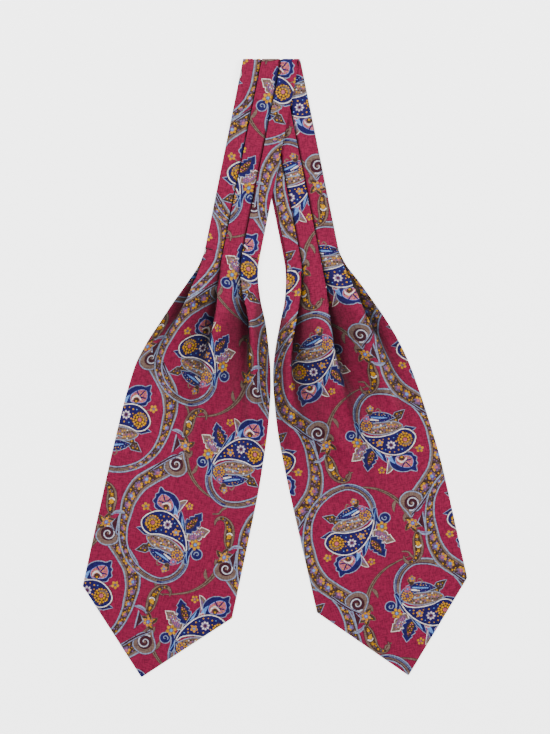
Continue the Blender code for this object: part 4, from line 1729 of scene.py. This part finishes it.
@dataclass(frozen=True)
class Studio:
    """Plain floor, soft light and the camera straight above, with the photo's frame."""

    view_height: float = 0.734
    camera_height: float = 3.2
    floor_grey: float = 0.93
    floor_glow: float = 3.0
    floor_reach: float = 4.0
    floor_roughness: float = 0.9
    sky: float = 0.15
    sensor_height: float = 24.0
    lamps: tuple[Lamp, ...] = (
        Lamp("left", (-1.9, 0.8, 1.35), 0.8, 56.0),
        Lamp("right", (1.9, 0.8, 1.35), 0.8, 56.0),
        Lamp("top", (0.0, 1.2, 2.4), 1.0, 22.0),
    )

    def floor(self) -> None:
        """Make the pale floor."""
        mesh = bpy.data.meshes.new("floor")
        reach = self.floor_reach
        corners = [(-reach, -reach, 0), (reach, -reach, 0), (reach, reach, 0), (-reach, reach, 0)]
        mesh.from_pydata(corners, [], [(0, 1, 2, 3)])
        material = bpy.data.materials.new("pale_floor")
        material.use_nodes = True
        shader = material.node_tree.nodes["Principled BSDF"]
        shader.inputs["Base Color"].default_value = (self.floor_grey, self.floor_grey, self.floor_grey, 1.0)
        shader.inputs["Roughness"].default_value = self.floor_roughness
        shader.inputs["Emission Color"].default_value = WHITE
        shader.inputs["Emission Strength"].default_value = self.floor_glow
        mesh.materials.append(material)
        made = linked("floor", mesh)

    def lights(self) -> None:
        """Hang the soft lights, which face the cravat, and set the even surroundings."""
        for lamp in self.lamps:
            data = bpy.data.lights.new(lamp.name, "AREA")
            data.shape = "SQUARE"
            data.size = lamp.size
            data.energy = lamp.power
            made = linked(lamp.name, data)
            made.location = lamp.place
            made.rotation_euler = (-Vector(lamp.place)).to_track_quat("-Z", "Y").to_euler()
        world = bpy.data.worlds.new("studio")
        world.use_nodes = True
        background = world.node_tree.nodes["Background"]
        background.inputs["Color"].default_value = WHITE
        background.inputs["Strength"].default_value = self.sky
        bpy.context.scene.world = world

    def camera(self) -> None:
        """Set the camera straight above the middle of the photo's frame."""
        data = bpy.data.cameras.new("camera")
        data.sensor_fit = "VERTICAL"
        data.sensor_height = self.sensor_height
        data.lens = data.sensor_height * self.camera_height / self.view_height
        made = linked("camera", data)
        made.location = (0.0, 0.0, self.camera_height)
        bpy.context.scene.camera = made


def match_place(form: HalfForm) -> None:
    """Move a half's form so that its blade's point and outer corner meet its solid's box."""
    low, high = (np.array(corner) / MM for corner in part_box(f"blade_{form.side.name.lower()}_lining"))
    _, outer = form.half_widths(form.shoulder)
    _, tip_y = form.plan(np.array([form.point]), np.array([0.0]))
    corner_x, _ = form.plan(np.array([form.shoulder]), np.array([outer]))
    edge = low[0] if form.side is Side.LEFT else high[0]
    form.shift = (float(edge - corner_x[0]), float(low[1] - tip_y[0]))


def main() -> None:
    """Build the cravat's looks in order and report each piece."""
    logging.basicConfig(level=logging.INFO, format="%(name)s: %(message)s")
    for form in (LEFT_FORM, RIGHT_FORM):
        match_place(form)
        LOG.info("%s half moved by %.2f, %.2f mm", form.side.name.lower(), *form.shift)
    silk = SilkFinish().material("printed_silk_twill")
    thread = TackStitches().material()
    halves = (
        CravatHalf(LEFT_FORM, RIGHT_FORM, LEFT_PRINT, silk),
        CravatHalf(RIGHT_FORM, None, RIGHT_PRINT, silk),
    )
    for half in halves:
        form = half.form
        cloth, lining = half.cloth(), half.lining()
        tack = TackStitches().build(half, thread)
        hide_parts(f"neckband_{half.word}", f"blade_{half.word}_face")
        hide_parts(f"blade_{half.word}_lining")
        for piece in (cloth, lining, tack):
            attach(piece, "root")
            LOG.info("%s built with %d faces", piece.name, len(piece.data.polygons))
    studio = Studio()
    studio.floor()
    studio.lights()
    studio.camera()


if __name__ == "__main__":
    main()
